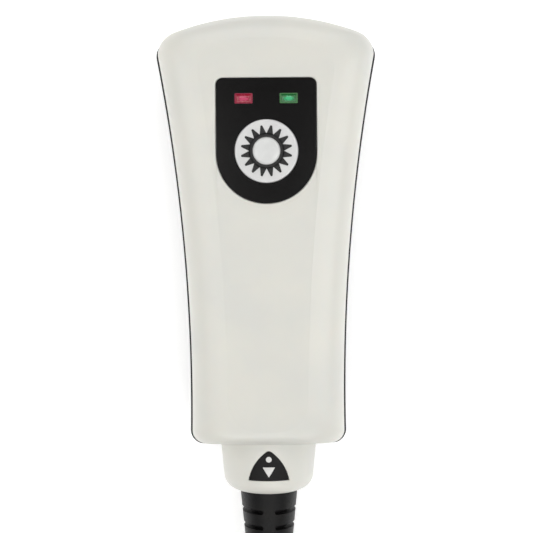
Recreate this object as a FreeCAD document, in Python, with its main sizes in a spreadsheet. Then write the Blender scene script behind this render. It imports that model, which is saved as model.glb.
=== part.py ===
"""Handheld light meter with a lead, as a parametric assembly.

Frame: X across the face, Y along the housing towards its wide head, Z out of the face.
The origin is the middle of the flat back, so the meter lies on its back at Z = 0.
"""
import FreeCAD
import Part
import math
import os

import Sketcher

V = FreeCAD.Vector

# Driving sizes in millimetres: alias -> value. Every sub-part reads them from the sheet.
SIZES = {
    # housing outline, at the seam
    "front_length": 124.0,
    "head_width": 63.4,
    "waist_width": 44.4,
    "waist_rise": 13.0,
    "crown_radius": 75.0,
    "head_corner": 4.5,
    "foot_corner": 3.2,
    # housing depth
    "rear_depth": 20.0,
    "gasket_thick": 0.5,
    "front_height": 14.0,
    "wall": 2.0,
    "rim_stand": 0.65,
    "rim_height": 2.0,
    # black panel on the face
    "panel_width": 28.1,
    "panel_length": 35.1,
    "panel_setback": 19.3,
    "panel_corner": 1.9,
    "panel_thick": 0.6,
    "panel_recess": 0.7,
    # windows and lamps
    "window_width": 5.1,
    "window_length": 2.9,
    "window_side": 6.3,
    "window_gap": 5.95,
    "window_depth": 2.2,
    "lamp_radius": 1.5,
    # sun button
    "button_drop": 20.5,
    "button_radius": 8.85,
    "button_gap": 0.15,
    "button_stand": 0.4,
    "flange_reach": 1.45,
    "print_valley": 4.95,
    "print_tip": 7.2,
    "print_inner": 3.85,
    "print_thick": 0.12,
    "diffuser_radius": 3.75,
    # circuit board
    "board_level": 25.6,
    "board_thick": 1.6,
    "board_side_gap": 5.2,
    "board_head_gap": 12.0,
    "board_foot_gap": 38.0,
    "post_edge": 3.8,
    "post_radius": 2.6,
    # plate on the back
    "plate_width": 24.0,
    "plate_length": 36.0,
    "plate_place": 4.0,
    "plate_recess": 0.5,
    # case screws
    "screw_head_edge": 9.2,
    "screw_head_gap": 22.0,
    "screw_foot_edge": 7.7,
    "screw_foot_gap": 24.0,
    "screw_radius": 1.5,
    "screw_cap_radius": 2.7,
    "screw_cap": 2.0,
    "screw_length": 16.0,
    "boss_radius": 3.9,
    "counterbore": 7.0,
    # neck
    "neck_level": 15.8,
    "neck_radius": 14.25,
    "neck_end_radius": 13.35,
    "neck_length": 13.8,
    "neck_lip": 0.3,
    "neck_bore": 10.8,
    "fit_gap": 0.06,
    "slip_gap": 0.05,
    "flange_gap": 0.2,
    # release latch
    "latch_half": 5.75,
    "latch_rise": 4.7,
    "latch_side_radius": 13.4,
    "latch_tip_radius": 1.2,
    "latch_stand": 0.3,
    # strain relief
    "boot_radius": 8.6,
    "boot_tip_wall": 1.1,
    "boot_length": 40.0,
    "slot_start": 5.9,
    "slot_pitch": 4.65,
    "slot_width": 1.4,
    "slot_depth": 0.9,
    "slot_spine": 3.6,
    # lead and its coil
    "cord_radius": 3.5,
    "coil_side": -15.0,
    "coil_place": -186.8,
    "coil_mean": 36.5,
    "coil_lift": 0.6,
    "tie_width": 14.0,
    # far plug
    "grip_radius": 6.9,
    "grip_length": 24.0,
    "shell_radius": 6.5,
    "shell_length": 13.0,
    "end_pin_radius": 0.6,
}
SLOT_ROWS = 7
RAYS = 16
HEAD_SETBACK = 10.0  # from the crown back to where the head is widest

# The lead's route from the boot to its coil, and from the coil up to the plug.
CORD_ROUTE = [
    (0.0, -115.8, 15.8),
    (0.58, -126.78, 14.2),
    (3.61, -137.36, 10.6),
    (9.27, -146.79, 6.4),
    (16.63, -154.96, 4.1),
    (22.29, -164.4, 4.1),
]
TAIL_ROUTE = [
    (-58.5, -186.8, 11.1),
    (-58.8, -173.8, 12.1),
    (-54.4, -161.6, 14.9),
    (-45.8, -151.9, 18.4),
    (-34.2, -146.2, 20.9),
    (-21.4, -145.4, 21.5),
]

doc = FreeCAD.newDocument("light_meter")
sheet = doc.addObject("Spreadsheet::Sheet", "sizes")
for row, (alias, number) in enumerate(SIZES.items(), start=1):
    sheet.set(f"A{row}", alias)
    sheet.set(f"B{row}", str(number))
    sheet.setAlias(f"B{row}", alias)
doc.recompute()


class Length:
    """A number together with the sheet expression that gives it."""

    def __init__(self, value, text):
        self.value = value
        self.text = text

    def __add__(self, other):
        other = length(other)
        return Length(self.value + other.value, f"({self.text} + {other.text})")

    def __sub__(self, other):
        other = length(other)
        return Length(self.value - other.value, f"({self.text} - {other.text})")

    def __radd__(self, other):
        return length(other) + self

    def __rsub__(self, other):
        return length(other) - self

    def __mul__(self, factor):
        return Length(self.value * factor, f"({self.text} * {factor})")

    def __truediv__(self, factor):
        return Length(self.value / factor, f"({self.text} / {factor})")

    def __neg__(self):
        return Length(-self.value, f"(0 - {self.text})")


def length(thing):
    """A Length from a sheet alias, a plain number or a Length."""
    if isinstance(thing, Length):
        return thing
    if isinstance(thing, str):
        return Length(float(sheet.get(thing)), f"sizes.{thing}")
    return Length(float(thing), str(float(thing)))


L = length
made = {}

# Derived heights and places, each from the sheet.
half_length = L("front_length") / 2
seam = L("rear_depth")
front_base = seam + "gasket_thick"
face = front_base + "front_height"
face_inside = face - "wall"
foot = -half_length
waist = foot + "waist_rise"
board_top = L("board_level") + "board_thick"
button_top = face + "button_stand"
neck_in = foot + 3.0
neck_end = foot - "neck_length"
neck_mouth = L("boot_radius") + "slip_gap"
neck_round = L("neck_end_radius") - neck_mouth - "neck_lip"
boot_tip = neck_end - "boot_length"
boot_tip_radius = L("cord_radius") + "boot_tip_wall"
slot_first = neck_end - "slot_start"
latch_low = neck_end + "latch_rise"
panel_top = half_length - "panel_setback"
button_place = panel_top - "button_drop"
window_place = button_place + "button_radius" + "window_gap"
button_flange = L("button_radius") + "flange_reach"
board_half = L("waist_width") / 2 - "board_side_gap"
board_head = half_length - "board_head_gap"
board_foot = foot + "board_foot_gap"
post_side = board_half - "post_edge"
screw_head_side = L("head_width") / 2 - "screw_head_edge"
screw_head_place = half_length - "screw_head_gap"
screw_foot_side = L("waist_width") / 2 - "screw_foot_edge"
screw_foot_place = foot + "screw_foot_gap"


# ---------------------------------------------------------------- sketch helpers
def new_body(label):
    body = doc.addObject("PartDesign::Body", label)
    made[label] = body
    return body


def sketch(body, plane="XY_Plane", lift=0.0):
    """A sketch on one of the body's own origin planes, lifted along its normal."""
    drawing = body.newObject("Sketcher::SketchObject", f"{body.Name}_sketch")
    base = [p for p in body.Origin.OriginFeatures if p.Role == plane][0]
    drawing.AttachmentSupport = [(base, "")]
    drawing.MapMode = "FlatFace"
    drawing.setExpression("AttachmentOffset.Base.z", length(lift).text)
    return drawing


def bind(drawing, kind, *where, size):
    """Adds a dimension and ties it to the sheet."""
    size = length(size)
    index = drawing.addConstraint(Sketcher.Constraint(kind, *where, size.value))
    drawing.setExpression(f"Constraints[{index}]", size.text)


def pin_point(drawing, geometry, point, x, y):
    """Holds one point of a shape at x, y."""
    x, y = length(x), length(y)
    for kind, axis, size in (("DistanceX", -2, x), ("DistanceY", -1, y)):
        if abs(size.value) < 1e-9:
            drawing.addConstraint(Sketcher.Constraint("PointOnObject", geometry, point, axis))
        else:
            bind(drawing, kind, -1, 1, geometry, point, size=size)


def polygon(drawing, corners):
    """A closed outline of straight lines, every corner tied to the sheet."""
    corners = [(length(x), length(y)) for x, y in corners]
    spots = [V(x.value, y.value, 0) for x, y in corners]
    lines = [
        drawing.addGeometry(Part.LineSegment(a, b))
        for a, b in zip(spots, spots[1:] + spots[:1], strict=True)
    ]
    for this, after in zip(lines, lines[1:] + lines[:1], strict=True):
        drawing.addConstraint(Sketcher.Constraint("Coincident", this, 2, after, 1))
    for line, (x, y) in zip(lines, corners, strict=True):
        pin_point(drawing, line, 1, x, y)


def rectangle(drawing, x0, x1, y0, y1):
    polygon(drawing, [(x0, y0), (x1, y0), (x1, y1), (x0, y1)])


def circle(drawing, x, y, radius):
    x, y, radius = length(x), length(y), length(radius)
    shape = Part.Circle(V(x.value, y.value, 0), V(0, 0, 1), radius.value)
    ring = drawing.addGeometry(shape)
    pin_point(drawing, ring, 3, x, y)
    bind(drawing, "Radius", ring, size=radius)


def arc(drawing, centre, radius, start, end):
    """An arc drawn anticlockwise from the start point to the end point."""
    turn = [math.atan2(p.y - centre.y, p.x - centre.x) for p in (start, end)]
    if turn[1] <= turn[0]:
        turn[1] += 2 * math.pi
    round_shape = Part.Circle(centre, V(0, 0, 1), radius)
    return drawing.addGeometry(Part.ArcOfCircle(round_shape, turn[0], turn[1]))


def tangent(drawing, first, first_end, second, second_end):
    drawing.addConstraint(Sketcher.Constraint("Tangent", first, first_end, second, second_end))


def finish_feature(body, kind, drawing, **settings):
    """Adds a PartDesign feature whose numeric settings are tied to the sheet."""
    feature = body.newObject(f"PartDesign::{kind}", f"{body.Name}_{kind}")
    feature.Profile = drawing
    for name, value in settings.items():
        if isinstance(value, (Length, str)):
            feature.setExpression(name, length(value).text)
        else:
            setattr(feature, name, value)
    doc.recompute()
    return feature


def pad(body, drawing, size, **settings):
    return finish_feature(body, "Pad", drawing, Length=length(size), **settings)


def pocket(body, drawing, size, **settings):
    return finish_feature(body, "Pocket", drawing, Length=length(size), **settings)


def turned(body, kind, drawing, axis="V_Axis", **settings):
    """A Revolution or a Groove about an axis of its own sketch."""
    return finish_feature(body, kind, drawing, ReferenceAxis=(drawing, [axis]), **settings)


# ---------------------------------------------------------------- outlines
def side_radius():
    """The hollow flank runs from the waist out to the head."""
    flare = (SIZES["head_width"] - SIZES["waist_width"]) / 2
    span = SIZES["front_length"] - SIZES["waist_rise"] - HEAD_SETBACK
    return (span**2 + flare**2) / (2 * flare)


def housing_outline(drawing, crown_inset, inset, foot_inset, head_corner, foot_corner):
    """The housing's outline, pulled in by its own inset at the crown, the flanks and the foot."""
    crown_inset, inset, foot_inset = length(crown_inset), length(inset), length(foot_inset)
    head_corner, foot_corner = length(head_corner), length(foot_corner)
    flank = side_radius()
    crown = L("crown_radius") - crown_inset
    crown_y = half_length - "crown_radius"
    flank_r = flank + inset.value
    flank_x = (L("waist_width") / 2).value + flank
    base = foot + foot_inset

    top = V(0, crown_y.value, 0)
    right = V(flank_x, waist.value, 0)
    # Corner centre: inside the crown arc and outside the flank arc.
    near = crown.value - head_corner.value
    far = flank_r + head_corner.value
    between = right - top
    gap = between.Length
    along = (near**2 - far**2 + gap**2) / (2 * gap)
    aside = math.sqrt(near**2 - along**2)
    unit = between / gap
    corner = top + unit * along + V(-unit.y, unit.x, 0) * aside
    on_crown = top + (corner - top).normalize() * crown.value
    on_flank = right + (corner - right).normalize() * flank_r
    # Foot corner: tangent to the foot line and outside the flank arc.
    low_y = base.value + foot_corner.value
    reach = flank_r + foot_corner.value
    low = V(flank_x - math.sqrt(reach**2 - (low_y - waist.value) ** 2), low_y, 0)
    low_flank = right + (low - right).normalize() * flank_r
    low_line = V(low.x, base.value, 0)

    def left(point):
        return V(-point.x, point.y, 0)

    arc_top = arc(drawing, top, crown.value, on_crown, left(on_crown))
    head_l = arc(drawing, left(corner), head_corner.value, left(on_crown), left(on_flank))
    flank_l = arc(drawing, left(right), flank_r, left(low_flank), left(on_flank))
    foot_l = arc(drawing, left(low), foot_corner.value, left(low_flank), left(low_line))
    line = drawing.addGeometry(Part.LineSegment(left(low_line), low_line))
    foot_r = arc(drawing, low, foot_corner.value, low_line, low_flank)
    flank_rt = arc(drawing, right, flank_r, on_flank, low_flank)
    head_r = arc(drawing, corner, head_corner.value, on_flank, on_crown)
    for joint in (
        (arc_top, 2, head_l, 1),
        (head_l, 2, flank_l, 2),
        (flank_l, 1, foot_l, 1),
        (foot_l, 2, line, 1),
        (line, 2, foot_r, 1),
        (foot_r, 2, flank_rt, 2),
        (flank_rt, 1, head_r, 1),
        (head_r, 2, arc_top, 1),
    ):
        tangent(drawing, *joint)
    drawing.addConstraint(Sketcher.Constraint("Horizontal", line))
    for corner_arc in (head_l, head_r):
        bind(drawing, "Radius", corner_arc, size=head_corner)
    for corner_arc in (foot_l, foot_r):
        bind(drawing, "Radius", corner_arc, size=foot_corner)
    bind(drawing, "Radius", arc_top, size=crown)
    pin_point(drawing, arc_top, 3, 0, crown_y)
    bind(drawing, "DistanceY", -1, 1, line, 1, size=base)
    for flank_arc, side in ((flank_l, -1), (flank_rt, 1)):
        pin_point(drawing, flank_arc, 3, L("waist_width") / 2 * side + side * flank, waist)
        bind(drawing, "Radius", flank_arc, size=inset + flank)


def loft(body, kind, levels):
    """A loft through housing outlines, one for each height with its insets and corners."""
    drawings = []
    for height, *shape in levels:
        drawing = sketch(body, lift=height)
        housing_outline(drawing, *shape)
        drawings.append(drawing)
    feature = finish_feature(body, kind, drawings[0], Ruled=True, Sections=drawings[1:])
    return feature


def panel_outline(drawing, margin):
    """The panel's D: square-cornered at the top, a half round at the bottom."""
    half = L("panel_width") / 2 + margin
    high = panel_top + margin
    low = panel_top - "panel_length" + L("panel_width") / 2
    corner = L("panel_corner") + margin
    h, t, b, r = (s.value for s in (half, high, low, corner))
    bottom = arc(drawing, V(0, b, 0), h, V(-h, b, 0), V(h, b, 0))
    right = drawing.addGeometry(Part.LineSegment(V(h, b, 0), V(h, t - r, 0)))
    right_c = arc(drawing, V(h - r, t - r, 0), r, V(h, t - r, 0), V(h - r, t, 0))
    top = drawing.addGeometry(Part.LineSegment(V(h - r, t, 0), V(r - h, t, 0)))
    left_c = arc(drawing, V(r - h, t - r, 0), r, V(r - h, t, 0), V(-h, t - r, 0))
    left = drawing.addGeometry(Part.LineSegment(V(-h, t - r, 0), V(-h, b, 0)))
    chain = [(bottom, 2, right, 1), (right, 2, right_c, 1), (right_c, 2, top, 1)]
    chain += [(top, 2, left_c, 1), (left_c, 2, left, 1), (left, 2, bottom, 1)]
    for joint in chain:
        tangent(drawing, *joint)
    pin_point(drawing, bottom, 3, 0, low)
    bind(drawing, "Radius", bottom, size=half)
    for corner_arc in (right_c, left_c):
        bind(drawing, "Radius", corner_arc, size=corner)
    drawing.addConstraint(Sketcher.Constraint("Horizontal", top))
    bind(drawing, "DistanceY", -1, 1, top, 1, size=high)


def arch_outline(drawing, margin):
    """The latch's pointed arch: two bowed flanks, a rounded tip and a straight foot."""
    lean = math.radians(10)
    low = latch_low - margin
    big = L("latch_side_radius") + margin
    tip = L("latch_tip_radius") + margin
    centre_x = L("latch_half") - L("latch_side_radius") * math.cos(lean)
    centre_y = latch_low - L("latch_side_radius") * math.sin(lean)
    right = V(centre_x.value, centre_y.value, 0)
    left = V(-right.x, right.y, 0)
    rise = math.sqrt((big.value - tip.value) ** 2 - right.x**2)
    top = V(0, right.y + rise, 0)
    join_r = right + (top - right).normalize() * big.value
    join_l = V(-join_r.x, join_r.y, 0)
    reach = math.sqrt(big.value**2 - (low.value - right.y) ** 2)
    corner_r = V(right.x + reach, low.value, 0)
    corner_l = V(-corner_r.x, low.value, 0)
    flank_r = arc(drawing, right, big.value, corner_r, join_r)
    tip_arc = arc(drawing, top, tip.value, join_r, join_l)
    flank_l = arc(drawing, left, big.value, join_l, corner_l)
    line = drawing.addGeometry(Part.LineSegment(corner_l, corner_r))
    tangent(drawing, flank_r, 2, tip_arc, 1)
    tangent(drawing, tip_arc, 2, flank_l, 1)
    drawing.addConstraint(Sketcher.Constraint("Coincident", flank_l, 2, line, 1))
    drawing.addConstraint(Sketcher.Constraint("Coincident", line, 2, flank_r, 1))
    pin_point(drawing, flank_r, 3, centre_x, centre_y)
    pin_point(drawing, flank_l, 3, -centre_x, centre_y)
    for flank_arc in (flank_r, flank_l):
        bind(drawing, "Radius", flank_arc, size=big)
    bind(drawing, "Radius", tip_arc, size=tip)
    drawing.addConstraint(Sketcher.Constraint("Horizontal", line))
    bind(drawing, "DistanceY", -1, 1, line, 1, size=low)


# ---------------------------------------------------------------- primitive helpers
def place(thing, x, y, z, turn=None):
    """Puts an object at x, y, z, tied to the sheet."""
    thing.Placement = FreeCAD.Placement(V(0, 0, 0), turn or FreeCAD.Rotation())
    for name, spot in (("x", x), ("y", y), ("z", z)):
        thing.setExpression(f"Placement.Base.{name}", length(spot).text)
    return thing


def block(name, x0, x1, y0, y1, z0, z1):
    x0, x1, y0, y1, z0, z1 = (length(s) for s in (x0, x1, y0, y1, z0, z1))
    thing = doc.addObject("Part::Box", name)
    thing.setExpression("Length", (x1 - x0).text)
    thing.setExpression("Width", (y1 - y0).text)
    thing.setExpression("Height", (z1 - z0).text)
    return place(thing, x0, y0, z0)


def rod(name, x, y, z0, z1, radius, turn=None):
    """A round bar; with a turn its own +Z points where the turn sends it."""
    thing = doc.addObject("Part::Cylinder", name)
    thing.setExpression("Radius", length(radius).text)
    thing.setExpression("Height", (length(z1) - length(z0)).text)
    return place(thing, x, y, z0, turn)


def lying_rod(name, x, z, y0, y1, radius):
    """A round bar along Y from y0 up to y1."""
    thing = doc.addObject("Part::Cylinder", name)
    thing.setExpression("Radius", length(radius).text)
    thing.setExpression("Height", (length(y1) - length(y0)).text)
    return place(thing, x, y0, z, FreeCAD.Rotation(V(1, 0, 0), -90))


def fuse(name, things):
    joined = doc.addObject("Part::MultiFuse", name)
    joined.Shapes = things
    return joined


def cut(name, base, tool):
    left = doc.addObject("Part::Cut", name)
    left.Base = base
    left.Tool = tool
    return left


def group(label, things):
    """Separate solids that share one node."""
    bundle = doc.addObject("Part::Compound", label)
    bundle.Links = things
    made[label] = bundle
    return bundle


def keep(label, thing):
    thing.Label = label
    made[label] = thing
    return thing


SCREWS = [
    (screw_head_side, screw_head_place),
    (-screw_head_side, screw_head_place),
    (screw_foot_side, screw_foot_place),
    (-screw_foot_side, screw_foot_place),
]
POSTS = [(side, place_y) for side in (1, -1) for place_y in ("head", "foot")]
POST_BACK = 3.4  # from the board's end to its screw


def post_spot(side, end):
    y = board_head - POST_BACK if end == "head" else board_foot + POST_BACK
    return post_side * side, y


def plate_sides(margin):
    """The plate's four sides, or those of the recess that takes it."""
    half_x, half_y = L("plate_width") / 2 + margin, L("plate_length") / 2 + margin
    middle = L("plate_place")
    return -half_x, half_x, middle - half_y, middle + half_y


# ---------------------------------------------------------------- housing
# Each level: share of the height, inset at crown, flanks and foot, and how much the head's and
# the foot's corners grow.
FRONT_LEVELS = [
    (0.0, 0.0, 0.0, 0.0, 0.0, 0.0),
    (0.32, 0.1, 0.35, 0.45, 0.7, 0.5),
    (0.56, 0.35, 1.2, 1.0, 1.2, 1.3),
    (0.74, 1.1, 2.8, 1.6, 1.7, 2.1),
    (0.88, 2.7, 5.2, 2.5, 2.3, 3.0),
    (0.965, 5.0, 8.0, 3.8, 3.0, 4.0),
    (1.0, 8.0, 11.0, 5.6, 3.6, 5.0),
]
REAR_LEVELS = [
    (0.0, 5.0, 5.0, 2.2, 1.0, 1.8),
    (0.08, 2.6, 2.6, 1.0, 0.6, 1.0),
    (0.2, 1.0, 1.0, 0.4, 0.2, 0.4),
    (0.42, 0.2, 0.2, 0.1, 0.0, 0.0),
    (1.0, 0.0, 0.0, 0.0, 0.0, 0.0),
]
INNER_CORNERS = (1.0, 1.4)  # how much tighter the head's and the foot's corners are inside


def outer_levels(levels, base, depth):
    return [
        (length(base) + length(depth) * share, crown_in, inset, foot_in,
         L("head_corner") + head, L("foot_corner") + low)
        for share, crown_in, inset, foot_in, head, low in levels
    ]


def inner_levels(levels, base, depth, wall_side):
    """The same levels a wall further in, squeezed so that the closed end keeps its wall."""
    keep_share = 1 - SIZES["wall"] / SIZES[depth]
    inner = []
    for share, crown_in, inset, foot_in, head, low in levels:
        squeezed = share * keep_share if wall_side == "top" else 1 - (1 - share) * keep_share
        inner.append((length(base) + L(depth) * squeezed, L("wall") + crown_in,
                      L("wall") + inset, L("wall") + foot_in,
                      L("head_corner") + (head - INNER_CORNERS[0]),
                      L("foot_corner") + (low - INNER_CORNERS[1])))
    return inner


def neck_tools(body, stop_up):
    """Lets the neck through the foot wall, and leaves a rib that drops into its groove."""
    drawing = sketch(body, "XZ_Plane", lift=-(neck_in + 4.6))
    circle(drawing, 0, "neck_level", L("neck_radius") + "fit_gap")
    pocket(body, drawing, 12.0, Reversed=True)
    rib = sketch(body, "XZ_Plane", lift=-(neck_in + 1.9))
    half = L("neck_radius") + 1.65
    if stop_up:
        rectangle(rib, -half, half, front_base, face_inside + 0.4)
    else:
        rectangle(rib, -half, half, L("wall") - 0.4, seam)
    pad(body, rib, 1.8, Reversed=False)
    hole = sketch(body, "XZ_Plane", lift=-(neck_in + 4.6))
    circle(hole, 0, "neck_level", L("neck_radius") - 1.6)
    pocket(body, hole, 6.0, Reversed=True)


def rear_cover():
    body = new_body("rear_cover")
    loft(body, "AdditiveLoft", outer_levels(REAR_LEVELS, 0.0, "rear_depth"))
    rim = sketch(body, lift=seam - "rim_height")
    housing_outline(rim, -L("rim_stand"), -L("rim_stand"), -L("rim_stand"),
                    L("head_corner") + "rim_stand", L("foot_corner") + "rim_stand")
    pad(body, rim, "rim_height")
    loft(body, "SubtractiveLoft", inner_levels(REAR_LEVELS, 0.0, "rear_depth", "bottom"))
    bosses = sketch(body, lift=L("wall") - 0.5)
    for x, y in SCREWS:
        circle(bosses, x, y, "boss_radius")
    pad(body, bosses, seam - "wall" - 0.5)
    holes = sketch(body)
    for x, y in SCREWS:
        circle(holes, x, y, L("screw_radius") + 0.15)
    pocket(body, holes, seam + 1.0, Reversed=True)
    caps = sketch(body)
    for x, y in SCREWS:
        circle(caps, x, y, L("screw_cap_radius") + 0.2)
    pocket(body, caps, "counterbore", Reversed=True)
    plate = sketch(body)
    x0, x1, y0, y1 = plate_sides(0.1)
    rectangle(plate, x0, x1, y0, y1)
    pocket(body, plate, "plate_recess", Reversed=True)
    neck_tools(body, stop_up=False)


def front_cover():
    body = new_body("front_cover")
    loft(body, "AdditiveLoft", outer_levels(FRONT_LEVELS, front_base, "front_height"))
    loft(body, "SubtractiveLoft", inner_levels(FRONT_LEVELS, front_base, "front_height", "top"))
    bosses = sketch(body, lift=front_base)
    for x, y in SCREWS:
        circle(bosses, x, y, "boss_radius")
    pad(body, bosses, L("front_height") * 0.72)
    holes = sketch(body, lift=seam)
    for x, y in SCREWS:
        circle(holes, x, y, L("screw_radius") + 0.02)
    pocket(body, holes, L("front_height") * 0.55, Reversed=True)
    posts = sketch(body, lift=board_top)
    for side, end in POSTS:
        circle(posts, *post_spot(side, end), "post_radius")
    pad(body, posts, face_inside - board_top + 0.3)
    threads = sketch(body, lift=board_top)
    for side, end in POSTS:
        circle(threads, *post_spot(side, end), 1.02)
    pocket(body, threads, 3.6, Reversed=True)
    recess = sketch(body, lift=face - "panel_recess")
    panel_outline(recess, 0.1)
    pocket(body, recess, 4.0, Reversed=True)
    opening = sketch(body, lift=face - 6.0)
    circle(opening, 0, button_place, L("button_radius") + "button_gap")
    for side in (1, -1):
        x = L("window_side") * side
        half_x = L("window_width") / 2 + 0.1
        half_y = L("window_length") / 2 + 0.1
        y = window_place
        rectangle(opening, x - half_x, x + half_x, y - half_y, y + half_y)
    pocket(body, opening, 12.0, Reversed=True)
    neck_tools(body, stop_up=True)


def seam_gasket():
    body = new_body("seam_gasket")
    ring = sketch(body, lift=seam)
    housing_outline(ring, 0.3, 0.3, 0.3, "head_corner", "foot_corner")
    pad(body, ring, "gasket_thick")
    hollow = sketch(body, lift=seam)
    inner = L("wall") - 0.2
    housing_outline(hollow, inner, inner, inner, L("head_corner") - INNER_CORNERS[0],
                    L("foot_corner") - INNER_CORNERS[1])
    pocket(body, hollow, L("gasket_thick"), Reversed=True)
    for_neck = sketch(body, "XZ_Plane", lift=-(neck_in + 4.6))
    circle(for_neck, 0, "neck_level", L("neck_radius") + "fit_gap")
    pocket(body, for_neck, 12.0, Reversed=True)


def case_screws():
    screws = []
    for number, (x, y) in enumerate(SCREWS):
        seat = L("counterbore")
        head = rod(f"screw_cap_{number}", x, y, seat - "screw_cap", seat, "screw_cap_radius")
        shank = rod(f"screw_shank_{number}", x, y, seat, seat + "screw_length", "screw_radius")
        whole = fuse(f"screw_whole_{number}", [head, shank])
        slot = block(f"screw_slot_{number}", x - 2.0, x + 2.0, y - 0.35, y + 0.35,
                     seat - "screw_cap" - 0.5, seat - 0.9)
        screws.append(cut(f"screw_{number}", whole, slot))
    group("case_screws", screws)


def rear_plate():
    high = L("plate_recess") - 0.04
    keep("rear_plate", block("rear_plate", *plate_sides(0.0), high - 0.38, high))


# ---------------------------------------------------------------- face
def panel_overlay():
    body = new_body("panel_overlay")
    drawing = sketch(body, lift=face - "panel_recess")
    panel_outline(drawing, 0.0)
    pad(body, drawing, "panel_thick")
    holes = sketch(body, lift=face - "panel_recess")
    circle(holes, 0, button_place, L("button_radius") + "button_gap")
    for side in (1, -1):
        x, y = L("window_side") * side, window_place
        half_x = L("window_width") / 2 + 0.02
        half_y = L("window_length") / 2 + 0.02
        rectangle(holes, x - half_x, x + half_x, y - half_y, y + half_y)
    pocket(body, holes, "panel_thick", Reversed=True)


def window(label, side):
    """A lens that fills the panel's window, with a flange under the face."""
    x, y = L("window_side") * side, window_place
    half_x, half_y = L("window_width") / 2, L("window_length") / 2
    top = face - "panel_recess" + "panel_thick" - 0.15
    lens = block(f"{label}_lens", x - half_x, x + half_x, y - half_y, y + half_y,
                 top - "window_depth", top)
    flange = block(f"{label}_flange", x - half_x - 0.8, x + half_x + 0.8, y - half_y - 0.8,
                   y + half_y + 0.8, face_inside - 0.7, face_inside - 0.03)
    keep(label, fuse(label, [lens, flange]))


def lamp(label, side):
    """A small round lamp on the board, close under its window."""
    x, y = L("window_side") * side, window_place
    rim = rod(f"{label}_rim", x, y, board_top, board_top + 0.8, L("lamp_radius") + 0.3)
    dome_level = board_top + 2.2
    stem = rod(f"{label}_stem", x, y, board_top, dome_level, "lamp_radius")
    dome = doc.addObject("Part::Sphere", f"{label}_dome")
    dome.setExpression("Radius", L("lamp_radius").text)
    place(dome, x, y, dome_level)
    keep(label, fuse(label, [rim, stem, dome]))


def sun_button():
    """A turned cap with a flange that holds it under the face, hollow below its web."""
    body = new_body("sun_button")
    centre = button_place
    cap = sketch(body, lift=face_inside - 1.2)
    circle(cap, 0, centre, button_flange)
    pad(body, cap, 1.1)
    disc = sketch(body, lift=face_inside - 0.6)
    circle(disc, 0, centre, "button_radius")
    raised = pad(body, disc, button_top - face_inside + 0.6)
    rim_edges = [
        f"Edge{number}"
        for number, edge in enumerate(raised.Shape.Edges, start=1)
        if abs(edge.CenterOfMass.z - button_top.value) < 1e-4
    ]
    rounded = body.newObject("PartDesign::Fillet", "sun_button_rim")
    rounded.Base = (raised, rim_edges)
    rounded.Radius = 0.35
    doc.recompute()
    well = sketch(body, lift=face_inside - 1.2)
    circle(well, 0, centre, L("diffuser_radius") + 2.2)
    pocket(body, well, 1.4, Reversed=True)
    eye = sketch(body, lift=face_inside - 2.0)
    circle(eye, 0, centre, L("diffuser_radius") + 0.02)
    pocket(body, eye, 8.0, Reversed=True)


def light_diffuser():
    """An opal lens: a plug with a low dome on top and a ledge below the web."""
    body = new_body("light_diffuser")
    drawing = sketch(body, "XZ_Plane", lift=-button_place)
    low, web = face_inside - 0.8, face_inside + 0.18
    top, crown = button_top + 0.05, button_top + 0.5
    polygon(drawing, [
        (0, low),
        (L("diffuser_radius") + 1.2, low),
        (L("diffuser_radius") + 1.2, web),
        (L("diffuser_radius"), web),
        (L("diffuser_radius"), top),
        (L("diffuser_radius") * 0.8, crown - 0.16),
        (L("diffuser_radius") * 0.45, crown - 0.04),
        (0, crown),
    ])
    turned(body, "Revolution", drawing, Angle=360.0)


def sun_print():
    """The sun: a dark ring with pointed rays, printed thick on the button."""
    body = new_body("sun_print")
    drawing = sketch(body, lift=button_top)
    circle(drawing, 0, button_place, "print_valley")
    circle(drawing, 0, button_place, "print_inner")
    pad(body, drawing, "print_thick")
    ray = sketch(body, lift=button_top)
    first, tip = L("print_valley") - 0.3, L("print_tip")
    y = button_place
    polygon(ray, [(-0.95, y + first), (0.95, y + first), (0.22, y + tip), (-0.22, y + tip)])
    one = pad(body, ray, "print_thick")
    rays = body.newObject("PartDesign::PolarPattern", "sun_print_rays")
    rays.Originals = [one]
    centre = sketch(body)
    centre.setExpression("AttachmentOffset.Base.y", button_place.text)
    circle(centre, 0, 0, 1.0)
    rays.Axis = (centre, ["N_Axis"])
    rays.Angle = 360.0
    rays.Occurrences = RAYS
    body.Tip = rays
    doc.recompute()


def return_membrane():
    """A rubber cone between the board and the button's flange that springs the button back."""
    body = new_body("return_membrane")
    drawing = sketch(body, "XZ_Plane", lift=-button_place)
    low, high = board_top, face_inside - 1.25
    outer = button_flange + 1.0
    inner = L("button_radius") - 0.4
    polygon(drawing, [
        (inner + 0.6, low), (outer + 1.4, low), (outer + 1.4, low + 0.6), (outer - 0.2, low + 0.6),
        (inner + 1.2, high), (inner - 0.4, high), (inner - 0.4, high - 0.7), (inner + 0.3, high - 0.7),
    ])
    turned(body, "Revolution", drawing, Angle=360.0)


def contact_ring():
    body = new_body("contact_ring")
    drawing = sketch(body, lift=board_top)
    circle(drawing, 0, button_place, L("button_radius") - 0.6)
    circle(drawing, 0, button_place, L("button_radius") - 2.6)
    pad(body, drawing, 0.08)


def light_sensor():
    half = 2.2
    y = button_place
    case = block("sensor_case", -half, half, y - half, y + half, board_top, board_top + 1.0)
    glass = rod("sensor_glass", 0, y, board_top + 1.0, board_top + 1.5, 1.5)
    keep("light_sensor", fuse("light_sensor", [case, glass]))


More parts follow.
